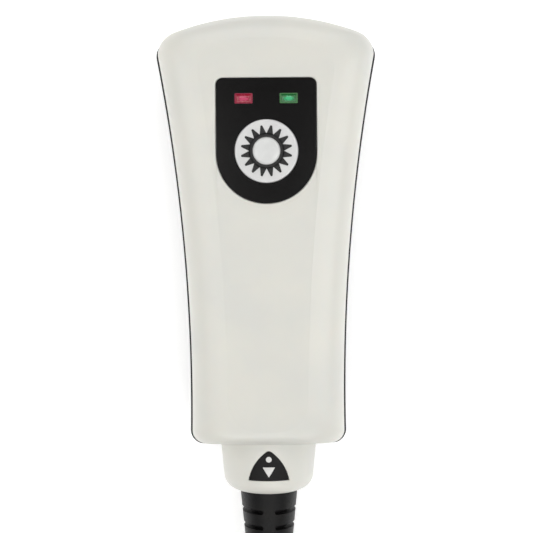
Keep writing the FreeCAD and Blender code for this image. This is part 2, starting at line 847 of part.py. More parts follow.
# ---------------------------------------------------------------- electronics
def circuit_board():
    body = new_body("circuit_board")
    drawing = sketch(body, lift="board_level")
    rectangle(drawing, -board_half, board_half, board_foot, board_head)
    pad(body, drawing, "board_thick")
    holes = sketch(body, lift="board_level")
    for side, end in POSTS:
        circle(holes, *post_spot(side, end), 1.15)
    pocket(body, holes, "board_thick", Reversed=True)


def board_screws():
    screws = []
    for number, (side, end) in enumerate(POSTS):
        x, y = post_spot(side, end)
        level = L("board_level")
        head = rod(f"board_cap_{number}", x, y, level - 1.2, level, 2.0)
        shank = rod(f"board_shank_{number}", x, y, level, board_top + 3.2, 1.0)
        whole = fuse(f"board_whole_{number}", [head, shank])
        slot = block(f"board_slot_{number}", x - 1.4, x + 1.4, y - 0.25, y + 0.25,
                     level - 1.6, level - 0.6)
        screws.append(cut(f"board_screw_{number}", whole, slot))
    group("board_screws", screws)


def electronics():
    under = L("board_level")
    keep("microcontroller", block("microcontroller", -4.0, 4.0, 2.0, 10.0, under - 1.2, under))
    parts = []
    spots = [(-11.0, 33.0, 3.2), (-11.0, 28.0, 1.6), (10.5, 30.0, 2.0), (10.5, 25.0, 2.0),
             (-10.0, 4.0, 1.6), (-10.0, 0.5, 1.6), (9.5, 6.0, 3.2), (9.5, 0.0, 1.6),
             (-3.0, -6.0, 2.0), (3.0, -6.0, 2.0)]
    for number, (x, y, wide) in enumerate(spots):
        parts.append(block(f"chip_{number}", x - wide / 2, x + wide / 2, y - wide / 4,
                           y + wide / 4, under - wide / 3, under))
    group("board_components", parts)
    foot_end = board_foot
    case = block("header_case", -6.0, 6.0, foot_end + 1.0, foot_end + 7.0, under - 5.2, under)
    mouth = block("header_mouth", -5.0, 5.0, foot_end, foot_end + 5.0, under - 4.2, under - 1.4)
    keep("board_connector", cut("board_connector", case, mouth))


def wire_path(points, radius):
    """One tube of straight runs and tangent arcs along the given points."""
    edges, radii = run_and_arc(points)
    wire = Part.Wire(edges)
    start = wire.Edges[0]
    along = start.tangentAt(start.FirstParameter)
    ring = Part.Wire(Part.makeCircle(radius, V(*points[0]), along))
    tube = wire.makePipeShell([ring], True, True)
    return tube, radii, wire.Length


def run_and_arc(points):
    """Straight runs joined by arcs as large as the two runs beside them allow."""
    spots = [V(*p) for p in points]
    edges, radii = [], []
    last = spots[0]
    for before, here, after in zip(spots, spots[1:], spots[2:], strict=False):
        back, on = before - here, after - here
        shorter = min(back.Length, on.Length)
        turn = math.pi - back.getAngle(on)
        radius = 0.45 * shorter / math.tan(turn / 2)
        touch = 0.45 * shorter
        enter = here + back.normalize() * touch
        leave = here + on.normalize() * touch
        bisect = (back + on).normalize()
        centre = here + bisect * math.hypot(radius, touch)
        middle = centre - bisect * radius
        edges.append(Part.LineSegment(last, enter).toShape())
        edges.append(Part.Arc(enter, middle, leave).toShape())
        radii.append(radius)
        last = leave
    edges.append(Part.LineSegment(last, spots[-1]).toShape())
    return edges, radii


def tube_feature(label, points, radius):
    shape, radii, run = wire_path(points, radius)
    feature = doc.addObject("Part::Feature", label)
    feature.Shape = shape
    feature.Placement = FreeCAD.Placement()
    made[label] = feature
    ratio = shape.Volume / (math.pi * radius**2 * run)
    smallest = min(radii)
    print(f"{label}: length {run:.1f}, radii {[round(r, 1) for r in radii]}, "
          f"smallest {smallest / (2 * radius):.1f} diameters, volume ratio {ratio:.4f}")


WIRE_SIDES = [-2.7, -0.9, 0.9, 2.7]
WIRE_RADIUS = 0.6


def inner_wires():
    """Four insulated wires from the board's header to the socket in the neck."""
    level = (L("board_level") - 2.8).value
    header = (board_foot + 4.6).value
    socket_top = (neck_in + 9.0).value
    low = L("neck_level").value
    wires = []
    for number, side in enumerate(WIRE_SIDES):
        route = [
            (side, header, level),
            (side, header - 9.0, level - 0.4),
            (side * 1.15, (header + socket_top) / 2, (level + low) / 2 + 0.6),
            (side, socket_top + 6.0, low + 0.5),
            (side, socket_top, low),
        ]
        shape, _, _ = wire_path(route, WIRE_RADIUS)
        wire = doc.addObject("Part::Feature", f"wire_{number}")
        wire.Shape = shape
        wire.Placement = FreeCAD.Placement()
        wires.append(wire)
    group("inner_wires", wires)


# ---------------------------------------------------------------- neck
def neck_collar():
    body = new_body("neck_collar")
    drawing = sketch(body, lift="neck_level")
    big, end, bore = L("neck_radius"), L("neck_end_radius"), L("neck_bore")
    shoulder = neck_end + neck_round
    groove = big - 1.7
    corners = [
        (neck_mouth, neck_end),
        (end - neck_round, neck_end),
        (end - neck_round * 0.5, neck_end + neck_round * 0.134),
        (end - neck_round * 0.134, neck_end + neck_round * 0.5),
        (end, shoulder),
        (big, foot),
        (big, neck_in),
        (groove, neck_in),
        (groove, neck_in + 2.1),
        (big - 0.3, neck_in + 2.1),
        (big - 0.3, neck_in + 4.0),
        (bore, neck_in + 4.0),
        (bore, neck_end + 2.6),
        (neck_mouth, neck_end + 2.6),
    ]
    polygon(drawing, corners)
    turned(body, "Revolution", drawing, Angle=360.0)
    arch = sketch(body, lift="neck_level")
    arch_outline(arch, 0.08)
    pocket(body, arch, L("neck_radius") + 1.0, Reversed=True)


def latch_skin(body, stand):
    """Trims a body to the neck's cone, standing out by the given height."""
    drawing = sketch(body, lift="neck_level")
    big = L("neck_radius") + stand
    end = L("neck_end_radius") + stand
    far = big + 8.0
    shoulder = neck_end + neck_round
    low = shoulder - 3.0
    slope = (big.value - end.value) / (foot - shoulder).value
    polygon(drawing, [
        (end - 3.0 * slope, low), (far, low), (far, foot + 3.0), (big + 3.0 * slope, foot + 3.0),
    ])
    turned(body, "Groove", drawing, Angle=360.0)


def release_latch():
    body = new_body("release_latch")
    base = L("neck_level") + "neck_bore" + 1.3
    arch = sketch(body, lift=base)
    arch_outline(arch, 0.0)
    pad(body, arch, 5.0)
    latch_skin(body, L("latch_stand"))
    marks = sketch(body, lift=L("neck_level") + "neck_end_radius" - 0.6)
    mark_shapes(marks, 0.02)
    pocket(body, marks, 6.0, Reversed=True)


def mark_shapes(drawing, margin):
    """A dot above a triangle that points down."""
    dot_y = latch_low + 6.25
    circle(drawing, 0, dot_y, 0.83 + margin)
    top = latch_low + 4.0
    polygon(drawing, [(-1.8 - margin, top + margin), (0, top - 3.0 - 2 * margin),
                      (1.8 + margin, top + margin)])


def latch_marks():
    body = new_body("latch_marks")
    drawing = sketch(body, lift=L("neck_level") + "neck_end_radius" - 0.58)
    mark_shapes(drawing, 0.0)
    pad(body, drawing, 4.0)
    latch_skin(body, L("latch_stand") + 0.03)


def latch_spring():
    """A small wave spring block between the latch and the connector in the neck."""
    body = new_body("latch_spring")
    base = L("neck_level") + 8.5
    drawing = sketch(body, lift=base)
    y = latch_low + 3.2
    circle(drawing, 0, y, 1.9)
    circle(drawing, 0, y, 1.3)
    pad(body, drawing, L("neck_bore") + 1.2 - 8.5)


def plug_body():
    """The lead's connector in the neck, behind the boot."""
    body = new_body("plug_body")
    drawing = sketch(body, lift="neck_level")
    flange = neck_end + 5.2
    polygon(drawing, [
        (0, flange), (8.4, flange), (8.4, neck_in + 0.5), (7.0, neck_in + 0.5), (7.0, neck_in + 2.0),
        (0, neck_in + 2.0),
    ])
    turned(body, "Revolution", drawing, Angle=360.0)


def socket_block():
    body = new_body("socket_block")
    drawing = sketch(body, lift="neck_level")
    polygon(drawing, [
        (0, neck_in + 2.1), (7.1, neck_in + 2.1), (7.1, neck_in + 0.6), (10.7, neck_in + 0.6),
        (10.7, neck_in + 6.0), (8.0, neck_in + 6.0), (8.0, neck_in + 9.0), (0, neck_in + 9.0),
    ])
    turned(body, "Revolution", drawing, Angle=360.0)
    holes = sketch(body, "XZ_Plane", lift=-(neck_in + 9.0))
    for side in WIRE_SIDES:
        circle(holes, side, "neck_level", WIRE_RADIUS + 0.05)
    pocket(body, holes, 3.5, Reversed=True)


def contact_pins():
    """Flat tags behind the socket, above its wires."""
    pins = []
    for number, side in enumerate(WIRE_SIDES):
        pins.append(lying_rod(f"pin_{number}", side, L("neck_level") + 3.0, neck_in + 9.0,
                              neck_in + 12.0, 0.45))
    group("contact_pins", pins)


def strain_relief_boot():
    body = new_body("strain_relief_boot")
    drawing = sketch(body, lift="neck_level")
    bore = L("cord_radius") + 0.05
    wide, tip = L("boot_radius"), boot_tip_radius
    flange = L("neck_bore") - "flange_gap"
    polygon(drawing, [
        (bore, boot_tip), (tip - 0.5, boot_tip), (tip, boot_tip + 0.6), (wide, neck_end),
        (wide, neck_end + 2.65), (flange, neck_end + 2.65), (flange, neck_end + 5.1),
        (bore, neck_end + 5.1),
    ])
    turned(body, "Revolution", drawing, Angle=360.0)
    slots = sketch(body, lift="neck_level")
    taper = (SIZES["boot_radius"] - boot_tip_radius.value) / SIZES["boot_length"]
    for row in range(SLOT_ROWS):
        y = slot_first - L("slot_pitch") * row
        skin = L("boot_radius").value - taper * (neck_end.value - y.value)
        rectangle(slots, skin - L("slot_depth"), skin + L("slot_depth"),
                  y - L("slot_width") / 2, y + L("slot_width") / 2)
    half_spine = math.degrees(math.asin(SIZES["slot_spine"] / 2 / 7.6))
    one_side = turned(body, "Groove", slots, Angle=180.0 - 2 * half_spine, Midplane=True)
    both = body.newObject("PartDesign::Mirrored", "boot_slots_mirrored")
    both.Originals = [one_side]
    plane = [p for p in body.Origin.OriginFeatures if p.Role == "YZ_Plane"][0]
    both.MirrorPlane = (plane, [""])
    body.Tip = both
    doc.recompute()


# ---------------------------------------------------------------- lead
def cord_coil():
    """The outer shape of the wound lead: three turns side by side in two layers."""
    body = new_body("cord_coil")
    drawing = sketch(body, "XZ_Plane", lift=-L("coil_place"))
    x, low = L("coil_side"), L("coil_lift")
    inner, outer = L("coil_mean") - L("cord_radius") * 3, L("coil_mean") + L("cord_radius") * 3
    high = low + L("cord_radius") * 4
    soft = L("cord_radius") * 0.6
    polygon(drawing, [
        (x + inner, low + soft), (x + inner + soft, low), (x + outer - soft, low),
        (x + outer, low + soft), (x + outer, high - soft), (x + outer - soft, high),
        (x + inner + soft, high), (x + inner, high - soft),
    ])
    axis = drawing.addGeometry(Part.LineSegment(V(x.value, 0, 0), V(x.value, 30, 0)), True)
    pin_point(drawing, axis, 1, x, 0)
    pin_point(drawing, axis, 2, x, 30)
    turned(body, "Revolution", drawing, axis="Axis0", Angle=360.0)


def cord_tie():
    """A flat band round all the turns."""
    x, y, low = L("coil_side"), L("coil_place"), L("coil_lift")
    thick = L("coil_lift") - 0.05
    inner = L("coil_mean") - L("cord_radius") * 3
    outer = L("coil_mean") + L("cord_radius") * 3
    high = low + L("cord_radius") * 4
    half = L("tie_width") / 2
    bow = 0.9
    band = block("tie_outside", x - half, x + half, y - outer - thick - 0.1,
                 y - inner + thick + bow, low - thick, high + thick)
    hollow = block("tie_inside", x - half - 1.0, x + half + 1.0, y - outer - 0.1,
                   y - inner + bow, low, high + 0.02)
    keep("cord_tie", cut("cord_tie", band, hollow))


PLUG_TURN = -2.0  # the plug lies on the coil at this angle from +X
PLUG_START = V(*TAIL_ROUTE[-1])


def lead_plug():
    """A round connector that lies on the coil: grip, metal shell, insert and pins."""
    toward = FreeCAD.Rotation(V(0, 0, 1), PLUG_TURN).multiply(FreeCAD.Rotation(V(0, 1, 0), 90))
    along = toward.multVec(V(0, 0, 1))
    grip_len, shell_len = L("grip_length").value, L("shell_length").value

    def spot(distance):
        return PLUG_START + along * distance

    def round_piece(name, near, far, radius_name, extra=0.0, inner=None):
        outside = doc.addObject("Part::Cylinder", f"{name}_outside")
        outside.setExpression("Radius", (L(radius_name) + extra).text)
        outside.Height = far - near
        outside.Placement = FreeCAD.Placement(spot(near), toward)
        if inner is None:
            return outside
        hollow = doc.addObject("Part::Cylinder", f"{name}_inside")
        hollow.setExpression("Radius", (L(radius_name) + extra - inner).text)
        hollow.Height = far - near + 2.0
        hollow.Placement = FreeCAD.Placement(spot(near - 1.0), toward)
        return cut(name, outside, hollow)

    tail = doc.addObject("Part::Cone", "grip_tail")
    tail.setExpression("Radius1", (L("cord_radius") + 1.0).text)
    tail.setExpression("Radius2", (L("grip_radius") - 0.6).text)
    tail.Height = grip_len * 0.5
    tail.Placement = FreeCAD.Placement(spot(0.0), toward)
    barrel = round_piece("grip_barrel", grip_len * 0.5, grip_len, "grip_radius")
    keep("end_plug_grip", fuse("end_plug_grip", [tail, barrel]))
    shell = round_piece("end_plug_shell", grip_len, grip_len + shell_len, "shell_radius", inner=0.7)
    keep("end_plug_shell", shell)
    keep("end_plug_insert", round_piece("end_plug_insert", grip_len, grip_len + 5.0,
                                        "shell_radius", extra=-0.75))
    pins = []
    for number in range(5):
        angle = math.radians(-90 + 45 * number)
        aside = toward.multVec(V(3.4 * math.cos(angle), 3.4 * math.sin(angle), 0))
        pin = doc.addObject("Part::Cylinder", f"end_pin_{number}")
        pin.setExpression("Radius", L("end_pin_radius").text)
        pin.Height = 5.5
        pin.Placement = FreeCAD.Placement(spot(grip_len + 5.0) + aside, toward)
        pins.append(pin)
    group("end_plug_pins", pins)


# ---------------------------------------------------------------- build and write
rear_cover()
front_cover()
seam_gasket()
case_screws()
rear_plate()
panel_overlay()
window("red_window", -1)
window("green_window", 1)
lamp("red_lamp", -1)
lamp("green_lamp", 1)
sun_button()
light_diffuser()
sun_print()
return_membrane()
contact_ring()
light_sensor()
circuit_board()
board_screws()
electronics()
inner_wires()
neck_collar()
release_latch()
latch_marks()
latch_spring()
plug_body()
socket_block()
contact_pins()
strain_relief_boot()
tube_feature("cord", CORD_ROUTE, SIZES["cord_radius"])
cord_coil()
tube_feature("cord_tail", TAIL_ROUTE, SIZES["cord_radius"])
cord_tie()
lead_plug()
doc.recompute()

faults = []
for thing in doc.Objects:
    if "Invalid" in thing.State or "Error" in thing.State:
        faults.append(f"{thing.Label}: {thing.State}")
for label, thing in made.items():
    if thing.Shape.isNull() or not thing.Shape.isValid() or not thing.Shape.Solids:
        faults.append(f"{label}: no valid solid")
if faults:
    raise RuntimeError("; ".join(faults))

os.makedirs("parts", exist_ok=True)
for label, thing in made.items():
    thing.Shape.exportStep(f"parts/{label}.step")
    print(f"{label}: {len(thing.Shape.Solids)} solid(s), {thing.Shape.Volume:.1f} mm3")
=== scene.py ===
"""Handheld light meter with a lead: its visible pieces, finishes, floor, light and camera."""

import math

import bmesh
import bpy
from mathutils import Matrix, Vector


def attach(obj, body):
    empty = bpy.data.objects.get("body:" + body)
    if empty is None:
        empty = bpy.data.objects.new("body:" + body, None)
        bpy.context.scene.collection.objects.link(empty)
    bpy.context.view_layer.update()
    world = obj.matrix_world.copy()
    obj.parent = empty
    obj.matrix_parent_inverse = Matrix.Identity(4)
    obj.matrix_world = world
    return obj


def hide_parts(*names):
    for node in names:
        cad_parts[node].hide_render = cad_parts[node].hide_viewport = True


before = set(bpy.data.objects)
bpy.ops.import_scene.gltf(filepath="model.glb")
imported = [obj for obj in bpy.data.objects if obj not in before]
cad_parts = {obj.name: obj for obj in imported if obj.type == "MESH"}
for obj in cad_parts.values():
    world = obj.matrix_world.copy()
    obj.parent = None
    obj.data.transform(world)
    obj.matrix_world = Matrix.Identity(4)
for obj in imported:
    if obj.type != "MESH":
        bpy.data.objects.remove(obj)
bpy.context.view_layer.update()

MM = 0.001
SHARP = math.radians(38)  # edges that turn more than this stay crisp
MERGE_REACH = 0.0005 * MM  # doubles closer than this are merged

# ---------------------------------------------------------------- sizes in millimetres
HALF_LENGTH = 62.0
HEAD_HALF = 31.7
WAIST_HALF = 22.2
WAIST_Y = -49.0
CROWN_RADIUS = 75.0
CORNERS = (4.5, 3.2)  # at the head and at the foot
HEAD_SETBACK = 10.0
SEAM = 20.0
GASKET = 0.5
FACE = 34.5
WALL = 2.0
RIM_STAND = 0.63
RIM_HEIGHT = 2.0

PANEL_HALF = 14.05
PANEL_TOP = 42.7
PANEL_BOTTOM = 7.6
PANEL_CORNER = 1.9
PANEL_Z = (33.8, 34.4)
DISH_DEPTH = 0.2
DISH_REACH = 4.5

WINDOW_X, WINDOW_Y = 6.3, 37.0
WINDOW_HALF = (2.55, 1.45)
WINDOW_TOP = 34.25

BUTTON_Y = 22.2
BUTTON_RADIUS = 8.85
BUTTON_TOP = 34.9

NECK_Z = 15.8
NECK_FOOT = -62.0
NECK_END = -75.8
NECK_RADII = (14.25, 13.35)
NECK_ROUND = 4.4
NECK_SHOULDER = NECK_END + NECK_ROUND

BOOT_TIP = -115.8
BOOT_RADII = (8.6, 4.6)
SLOT_FIRST, SLOT_PITCH, SLOT_ROWS = -81.7, 4.65, 7
SLOT_WIDTH, SLOT_DEPTH, SLOT_SPINE = 1.4, 2.4, 3.6
SLOT_SHARE = 0.6  # no slot is deeper than this share of the boot's wall

CORD_RADIUS = 3.5
COIL_CENTRE = (-15.0, -186.8)
COIL_RADII = (43.5, 36.5, 29.5)
COIL_LEVELS = (4.1, 11.1)
PLUG_START = Vector((-21.4, -145.4, 21.5))
PLUG_TURN = math.radians(-2.0)

SCREWS = [(22.5, 40.0), (-22.5, 40.0), (14.5, -38.0), (-14.5, -38.0)]
SCREW_SEAT = 5.0


# ---------------------------------------------------------------- finishes
SCRATCH_DEPTH = 0.004
WAVE_UNIT = 3.2  # a wave texture's bands stand this much closer than its scale says


def linear(code):
    """An sRGB hex colour as the linear colour that the shaders take."""
    parts = [int(code[i:i + 2], 16) / 255 for i in (1, 3, 5)]
    return (*(p / 12.92 if p <= 0.04045 else ((p + 0.055) / 1.055) ** 2.4 for p in parts), 1.0)


def add(tree, kind, links=None, **settings):
    """Adds a node with its settings; each input takes a value, a link or a list of links."""
    node = tree.nodes.new(kind)
    for name, value in settings.items():
        setattr(node, name, value)
    for socket, source in (links or {}).items():
        for one in source if isinstance(source, list) else [source]:
            if isinstance(one, bpy.types.NodeSocket):
                tree.links.new(one, node.inputs[socket])
            else:
                node.inputs[socket].default_value = one
    return node


def new_material(name):
    """An empty material, its tree and its Object coordinates."""
    material = bpy.data.materials.new(name)
    material.use_nodes = True
    tree = material.node_tree
    tree.nodes.clear()
    return material, tree, add(tree, "ShaderNodeTexCoord").outputs["Object"]


def surface(tree, colour, grain, roughness, depth_mm, height=None, **constants):
    """Ends a material: a grain makes its gloss uneven, and it or a height bumps the surface."""
    gloss = add(tree, "ShaderNodeMapRange", {"Value": grain, "From Min": 0.3, "From Max": 0.7,
                                             "To Min": roughness[0], "To Max": roughness[1]})
    bump = add(tree, "ShaderNodeBump", {"Height": height or grain, "Distance": depth_mm * MM,
                                        "Strength": 1.0})
    links = {"Base Color": colour, "Roughness": gloss.outputs[0], "Normal": bump.outputs[0]}
    links |= {socket.replace("_", " "): value for socket, value in constants.items()}
    shader = add(tree, "ShaderNodeBsdfPrincipled", links)
    add(tree, "ShaderNodeOutputMaterial", {"Surface": shader.outputs[0]})


def moulded(name, colours, roughness, grain_mm, depth_mm, patch_mm=9.0, **constants):
    """A moulded plastic or rubber: mottled colour, uneven gloss and a fine grain."""
    material, tree, coords = new_material(name)
    cloud = add(tree, "ShaderNodeTexNoise", {"Vector": coords, "Scale": 1 / (patch_mm * MM),
                                             "Detail": 3.0})
    share = add(tree, "ShaderNodeMapRange", {"Value": cloud.outputs["Fac"], "From Min": 0.35,
                                             "From Max": 0.65})
    colour = add(tree, "ShaderNodeMix", {0: share.outputs[0], 6: linear(colours[0]),
                                         7: linear(colours[1])}, data_type="RGBA")
    fine = add(tree, "ShaderNodeTexNoise", {"Vector": coords, "Scale": 1 / (grain_mm * MM),
                                            "Detail": 2.0})
    surface(tree, colour.outputs[2], fine.outputs["Fac"], roughness, depth_mm, **constants)
    return material


def drawn_metal(name, colours, roughness, scratch_mm, stretch):
    """A metal whose fine scratches run one way; its IOR stays as it is."""
    material, tree, coords = new_material(name)
    drawn = add(tree, "ShaderNodeMapping", {"Vector": coords, "Scale": stretch})
    lines = add(tree, "ShaderNodeTexNoise", {"Vector": drawn.outputs[0], "Detail": 3.0,
                                             "Scale": 1 / (scratch_mm * MM)}).outputs["Fac"]
    share = add(tree, "ShaderNodeMapRange", {"Value": lines, "From Min": 0.3, "From Max": 0.7})
    colour = add(tree, "ShaderNodeMix", {0: share.outputs[0], 6: linear(colours[0]),
                                         7: linear(colours[1])}, data_type="RGBA")
    surface(tree, colour.outputs[2], lines, roughness, SCRATCH_DEPTH, Metallic=1.0)
    return material


def window_lens(name, edge, body, painted_glow, centre_x):
    """Tinted acrylic over a diffusing tray: a paler rim, a deep field and a middle with a painted
    glow.
    """
    material, tree, coords = new_material(name)
    half_x, half_y = WINDOW_HALF
    local = add(tree, "ShaderNodeMapping", {
        "Vector": coords, "Location": (-centre_x / half_x, -WINDOW_Y / half_y, 0),
        "Scale": (1 / (half_x * MM), 1 / (half_y * MM), 0)}).outputs[0]
    axes = add(tree, "ShaderNodeSeparateXYZ", {0: local})
    sides = [add(tree, "ShaderNodeMath", {0: axes.outputs[i]}, operation="ABSOLUTE").outputs[0]
             for i in (0, 1)]
    rim = add(tree, "ShaderNodeMath", {0: sides[0], 1: sides[1]}, operation="MAXIMUM")
    middle = add(tree, "ShaderNodeVectorMath", {0: local}, operation="LENGTH")
    # Moulding marks about 0.4 mm across break up the painted glow of the middle into painted glints.
    marks = add(tree, "ShaderNodeTexNoise", {"Vector": coords, "Scale": 1 / (0.4 * MM),
                                             "Detail": 2.0}).outputs["Fac"]
    ragged = add(tree, "ShaderNodeMath", {0: middle.outputs["Value"], 1: marks}, operation="ADD")
    # The middle is painted lighter: painted glow and glints, not the acrylic's own colour.
    painted_glow_share = add(tree, "ShaderNodeMapRange", {"Value": ragged.outputs[0], "From Min": 0.8,
                                           "From Max": 1.1, "To Min": 1.0, "To Max": 0.0})
    paler = add(tree, "ShaderNodeMapRange", {"Value": rim.outputs[0], "From Min": 0.78,
                                             "From Max": 0.88})
    inside = add(tree, "ShaderNodeMix", {0: painted_glow_share.outputs[0], 6: linear(body), 7: linear(painted_glow)},
                 data_type="RGBA")
    colour = add(tree, "ShaderNodeMix", {0: paler.outputs[0], 6: inside.outputs[2],
                                         7: linear(edge)}, data_type="RGBA")
    surface(tree, colour.outputs[2], marks, (0.12, 0.3), 0.03, IOR=1.49, Coat_Weight=0.4,
            Coat_Roughness=0.08)
    return material


def woven(name, dark, light, thread_mm):
    """A narrow woven polyester tape: over and under threads drawn by two waves."""
    material, tree, coords = new_material(name)
    waves = [add(tree, "ShaderNodeTexWave", {"Vector": coords, "Distortion": 0.4,
                                             "Scale": 1 / (thread_mm * MM) / 2 / WAVE_UNIT},
                 bands_direction=direction).outputs["Fac"] for direction in ("X", "Y")]
    cross = add(tree, "ShaderNodeMath", {0: waves[0], 1: waves[1]}, operation="MULTIPLY").outputs[0]
    fuzz = add(tree, "ShaderNodeTexNoise", {"Vector": coords, "Scale": 1 / (thread_mm * MM / 2),
                                            "Detail": 3.0}).outputs["Fac"]
    height = add(tree, "ShaderNodeMath", {0: cross, 1: fuzz}, operation="ADD").outputs[0]
    colour = add(tree, "ShaderNodeMix", {0: cross, 6: linear(dark), 7: linear(light)},
                 data_type="RGBA")
    surface(tree, colour.outputs[2], fuzz, (0.75, 0.95), 0.12, height, Sheen_Weight=0.35)
    return material


FINISH = {
    # Injection-moulded ABS in warm white, spark-eroded to a fine satin: soft wide highlights.
    "white_shell": moulded("white_abs_satin", ("#dcdbd3", "#d7d7d1"), (0.30, 0.38), 0.35, 0.004,
                           18.0, IOR=1.53, Subsurface_Weight=0.04, Subsurface_Scale=0.001),
    # The same ABS in black with a faint blue cast, a little glossier at its rim.
    "black_shell": moulded("black_abs_satin", ("#1b1b22", "#16161c"), (0.30, 0.42), 0.35, 0.006,
                           12.0, IOR=1.53),
    # Nitrile cord pressed in the seam: dull.
    "black_rubber": moulded("seal_rubber", ("#1a1a1a", "#141414"), (0.7, 0.85), 0.3, 0.01),
    # Zinc-plated steel screws, turned, with a slight haze.
    "zinc_steel": drawn_metal("zinc_plated_steel", ("#a9abad", "#8e9092"), (0.3, 0.45), 0.25,
                              (1, 1, 4)),
    # Anodised aluminium foil plate, brushed along the housing.
    "silver_foil": drawn_metal("brushed_aluminium_foil", ("#b9bbbd", "#a5a7aa"), (0.32, 0.48),
                               0.5, (3, 0.08, 1)),
    # Polyester overlay printed black on its back: smooth, with a very fine velvet grain.
    "black_panel": moulded("printed_polyester_black", ("#0d0c0c", "#0a0909"), (0.16, 0.22), 0.25,
                           0.001, 6.0, IOR=1.45),
    # Tinted acrylic windows over a diffusing tray; their third colour is a painted glow in the
    # middle.
    "red_lens": window_lens("red_acrylic", "#96344a", "#94142f", "#c4486a", -WINDOW_X),
    "green_lens": window_lens("green_acrylic", "#4f7d50", "#1d6630", "#46b57c", WINDOW_X),
    # ABS cap with a bead-blasted satin top.
    "white_button": moulded("button_abs_satin", ("#d9d9d8", "#d3d3d3"), (0.36, 0.46), 0.3, 0.003,
                            5.0, IOR=1.53),
    # Thick screen-printed ink: matt, slightly raised, with a mesh grain.
    "black_ink": moulded("screen_ink_black", ("#171616", "#131313"), (0.5, 0.62), 0.2, 0.006, 3.0),
    # Opal acrylic diffuser: milky, light passes into it.
    "opal_lens": moulded("opal_acrylic", ("#dedfde", "#d6d7d6"), (0.28, 0.36), 0.4, 0.002, 3.0,
                         IOR=1.49, Subsurface_Weight=0.2, Subsurface_Scale=0.001,
                         Subsurface_Radius=(1, 1, 1)),
    # Silicone rubber spring: dull grey.
    "grey_silicone": moulded("silicone_grey", ("#8a8c8e", "#7d7f82"), (0.6, 0.75), 0.3, 0.008),
    # Gold flash over nickel on the contacts.
    "gold_plate": drawn_metal("gold_flash", ("#d8b25c", "#c49a45"), (0.18, 0.32), 0.2, (1, 1, 1)),
    # Black epoxy of the chips and the sensor.
    "dark_resin": moulded("epoxy_black", ("#1c1c1d", "#151516"), (0.45, 0.6), 0.15, 0.006, 2.0),
    # Glass-fibre board under green solder mask; the weave shows as a faint grain.
    "board_green": moulded("solder_mask_green", ("#12602f", "#0e4f27"), (0.25, 0.4), 0.6, 0.01,
                           4.0, Coat_Weight=0.3),
    # Fired ceramic bodies of the small board parts.
    "ceramic_tan": moulded("ceramic_tan", ("#a58c64", "#8f7852"), (0.5, 0.7), 0.2, 0.006, 1.0),
    # Natural nylon of the board's connector.
    "nylon_white": moulded("nylon_natural", ("#dcd8c8", "#d0ccbc"), (0.4, 0.55), 0.4, 0.006),
    # PVC wire sleeves.
    "wire_sleeve": moulded("pvc_sleeve_red", ("#8d1c1c", "#771515"), (0.35, 0.5), 0.3, 0.004),
    # Spark-eroded thermoplastic rubber: charcoal, with a grain about 0.25 mm across, drawn at
    # 0.4 mm so that it shows.
    "grained_black": moulded("grained_rubber_charcoal", ("#0d0c0b", "#08080a"), (0.36, 0.5), 0.4,
                             0.08, 4.0, IOR=1.46, Specular_IOR_Level=0.3),
    # White ink filled into the latch's sunk marks.
    "white_inlay": moulded("inlay_white", ("#dcdcda", "#d0d0ce"), (0.4, 0.55), 0.25, 0.01, 2.0),
    # Glass-filled nylon of the connectors: dark grey with pale fibre flecks.
    "nylon_grey": moulded("glass_nylon_grey", ("#5b5c5f", "#47484b"), (0.45, 0.6), 0.3, 0.01, 1.2),
    # PVC lead jacket, extruded: smooth, with faint drag lines.
    "cord_jacket": moulded("pvc_jacket_black", ("#232324", "#1c1c1e"), (0.36, 0.5), 0.8, 0.012,
                           14.0, IOR=1.53),
    # Polyester tie tape; its real 0.3 mm threads are drawn at 0.7 mm so that they show.
    "tie_fabric": woven("polyester_tie_tape", "#1b1b1e", "#45454a", 0.7),
    # Nickel-plated brass shell, turned.
    "nickel_shell": drawn_metal("nickel_plated_brass", ("#cfcdc7", "#b9b7b1"), (0.18, 0.3), 0.3,
                                (4, 1, 1)),
}
INSIDE_PIECES = {
    "return_membrane": "grey_silicone", "contact_ring": "gold_plate", "light_sensor": "dark_resin",
    "circuit_board": "board_green", "board_screws": "zinc_steel", "microcontroller": "dark_resin",
    "board_components": "ceramic_tan", "board_connector": "nylon_white",
    "inner_wires": "wire_sleeve", "latch_spring": "zinc_steel", "plug_body": "nylon_grey",
    "socket_block": "nylon_grey", "contact_pins": "gold_plate", "red_lamp": "red_lens",
    "green_lamp": "green_lens",
}
for node, slot_name in INSIDE_PIECES.items():
    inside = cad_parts[node].data.materials
    inside.clear()
    inside.append(FINISH[slot_name])


# ---------------------------------------------------------------- making meshes
def settle(obj, body, slot_name, *nodes):
    """Gives a finished piece its body and its material from the finish table, and hides the CAD
    nodes it stands for.
    """
    obj.data.materials.clear()
    obj.data.materials.append(FINISH[slot_name])
    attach(obj, body)
    if nodes:
        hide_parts(*nodes)
    return obj


def crisp(mesh):
    """Smooth shading with sharp creases where faces turn a lot; level faces stay flat."""
    mesh.shade_smooth()
    mesh.set_sharp_from_angle(angle=SHARP)
    for face in mesh.polygons:
        face.use_smooth = abs(face.normal.z) < 0.9999


def in_scene(name, data):
    """An object of the scene that shows a mesh, curve, lamp or camera."""
    obj = bpy.data.objects.new(name, data)
    bpy.context.scene.collection.objects.link(obj)
    return obj


def solid(name, rings, wrap=False):
    """A closed piece on rings in millimetres, wrapped last to first or capped at both ends."""
    count = len(rings[0])
    starts = [k * count for k in range(len(rings))]
    pairs = list(zip(starts, starts[1:] + starts[:1], strict=True))
    faces = []
    for low, high in pairs if wrap else pairs[:-1]:
        for i in range(count):
            j = (i + 1) % count
            faces.append((low + i, low + j, high + j, high + i))
    if not wrap:
        faces.append(tuple(range(count - 1, -1, -1)))
        faces.append(tuple(range(starts[-1], starts[-1] + count)))
    mesh = bpy.data.meshes.new(name)
    mesh.from_pydata([Vector(p) * MM for ring in rings for p in ring], [], faces)
    mesh.validate()
    return outward(in_scene(name, mesh))


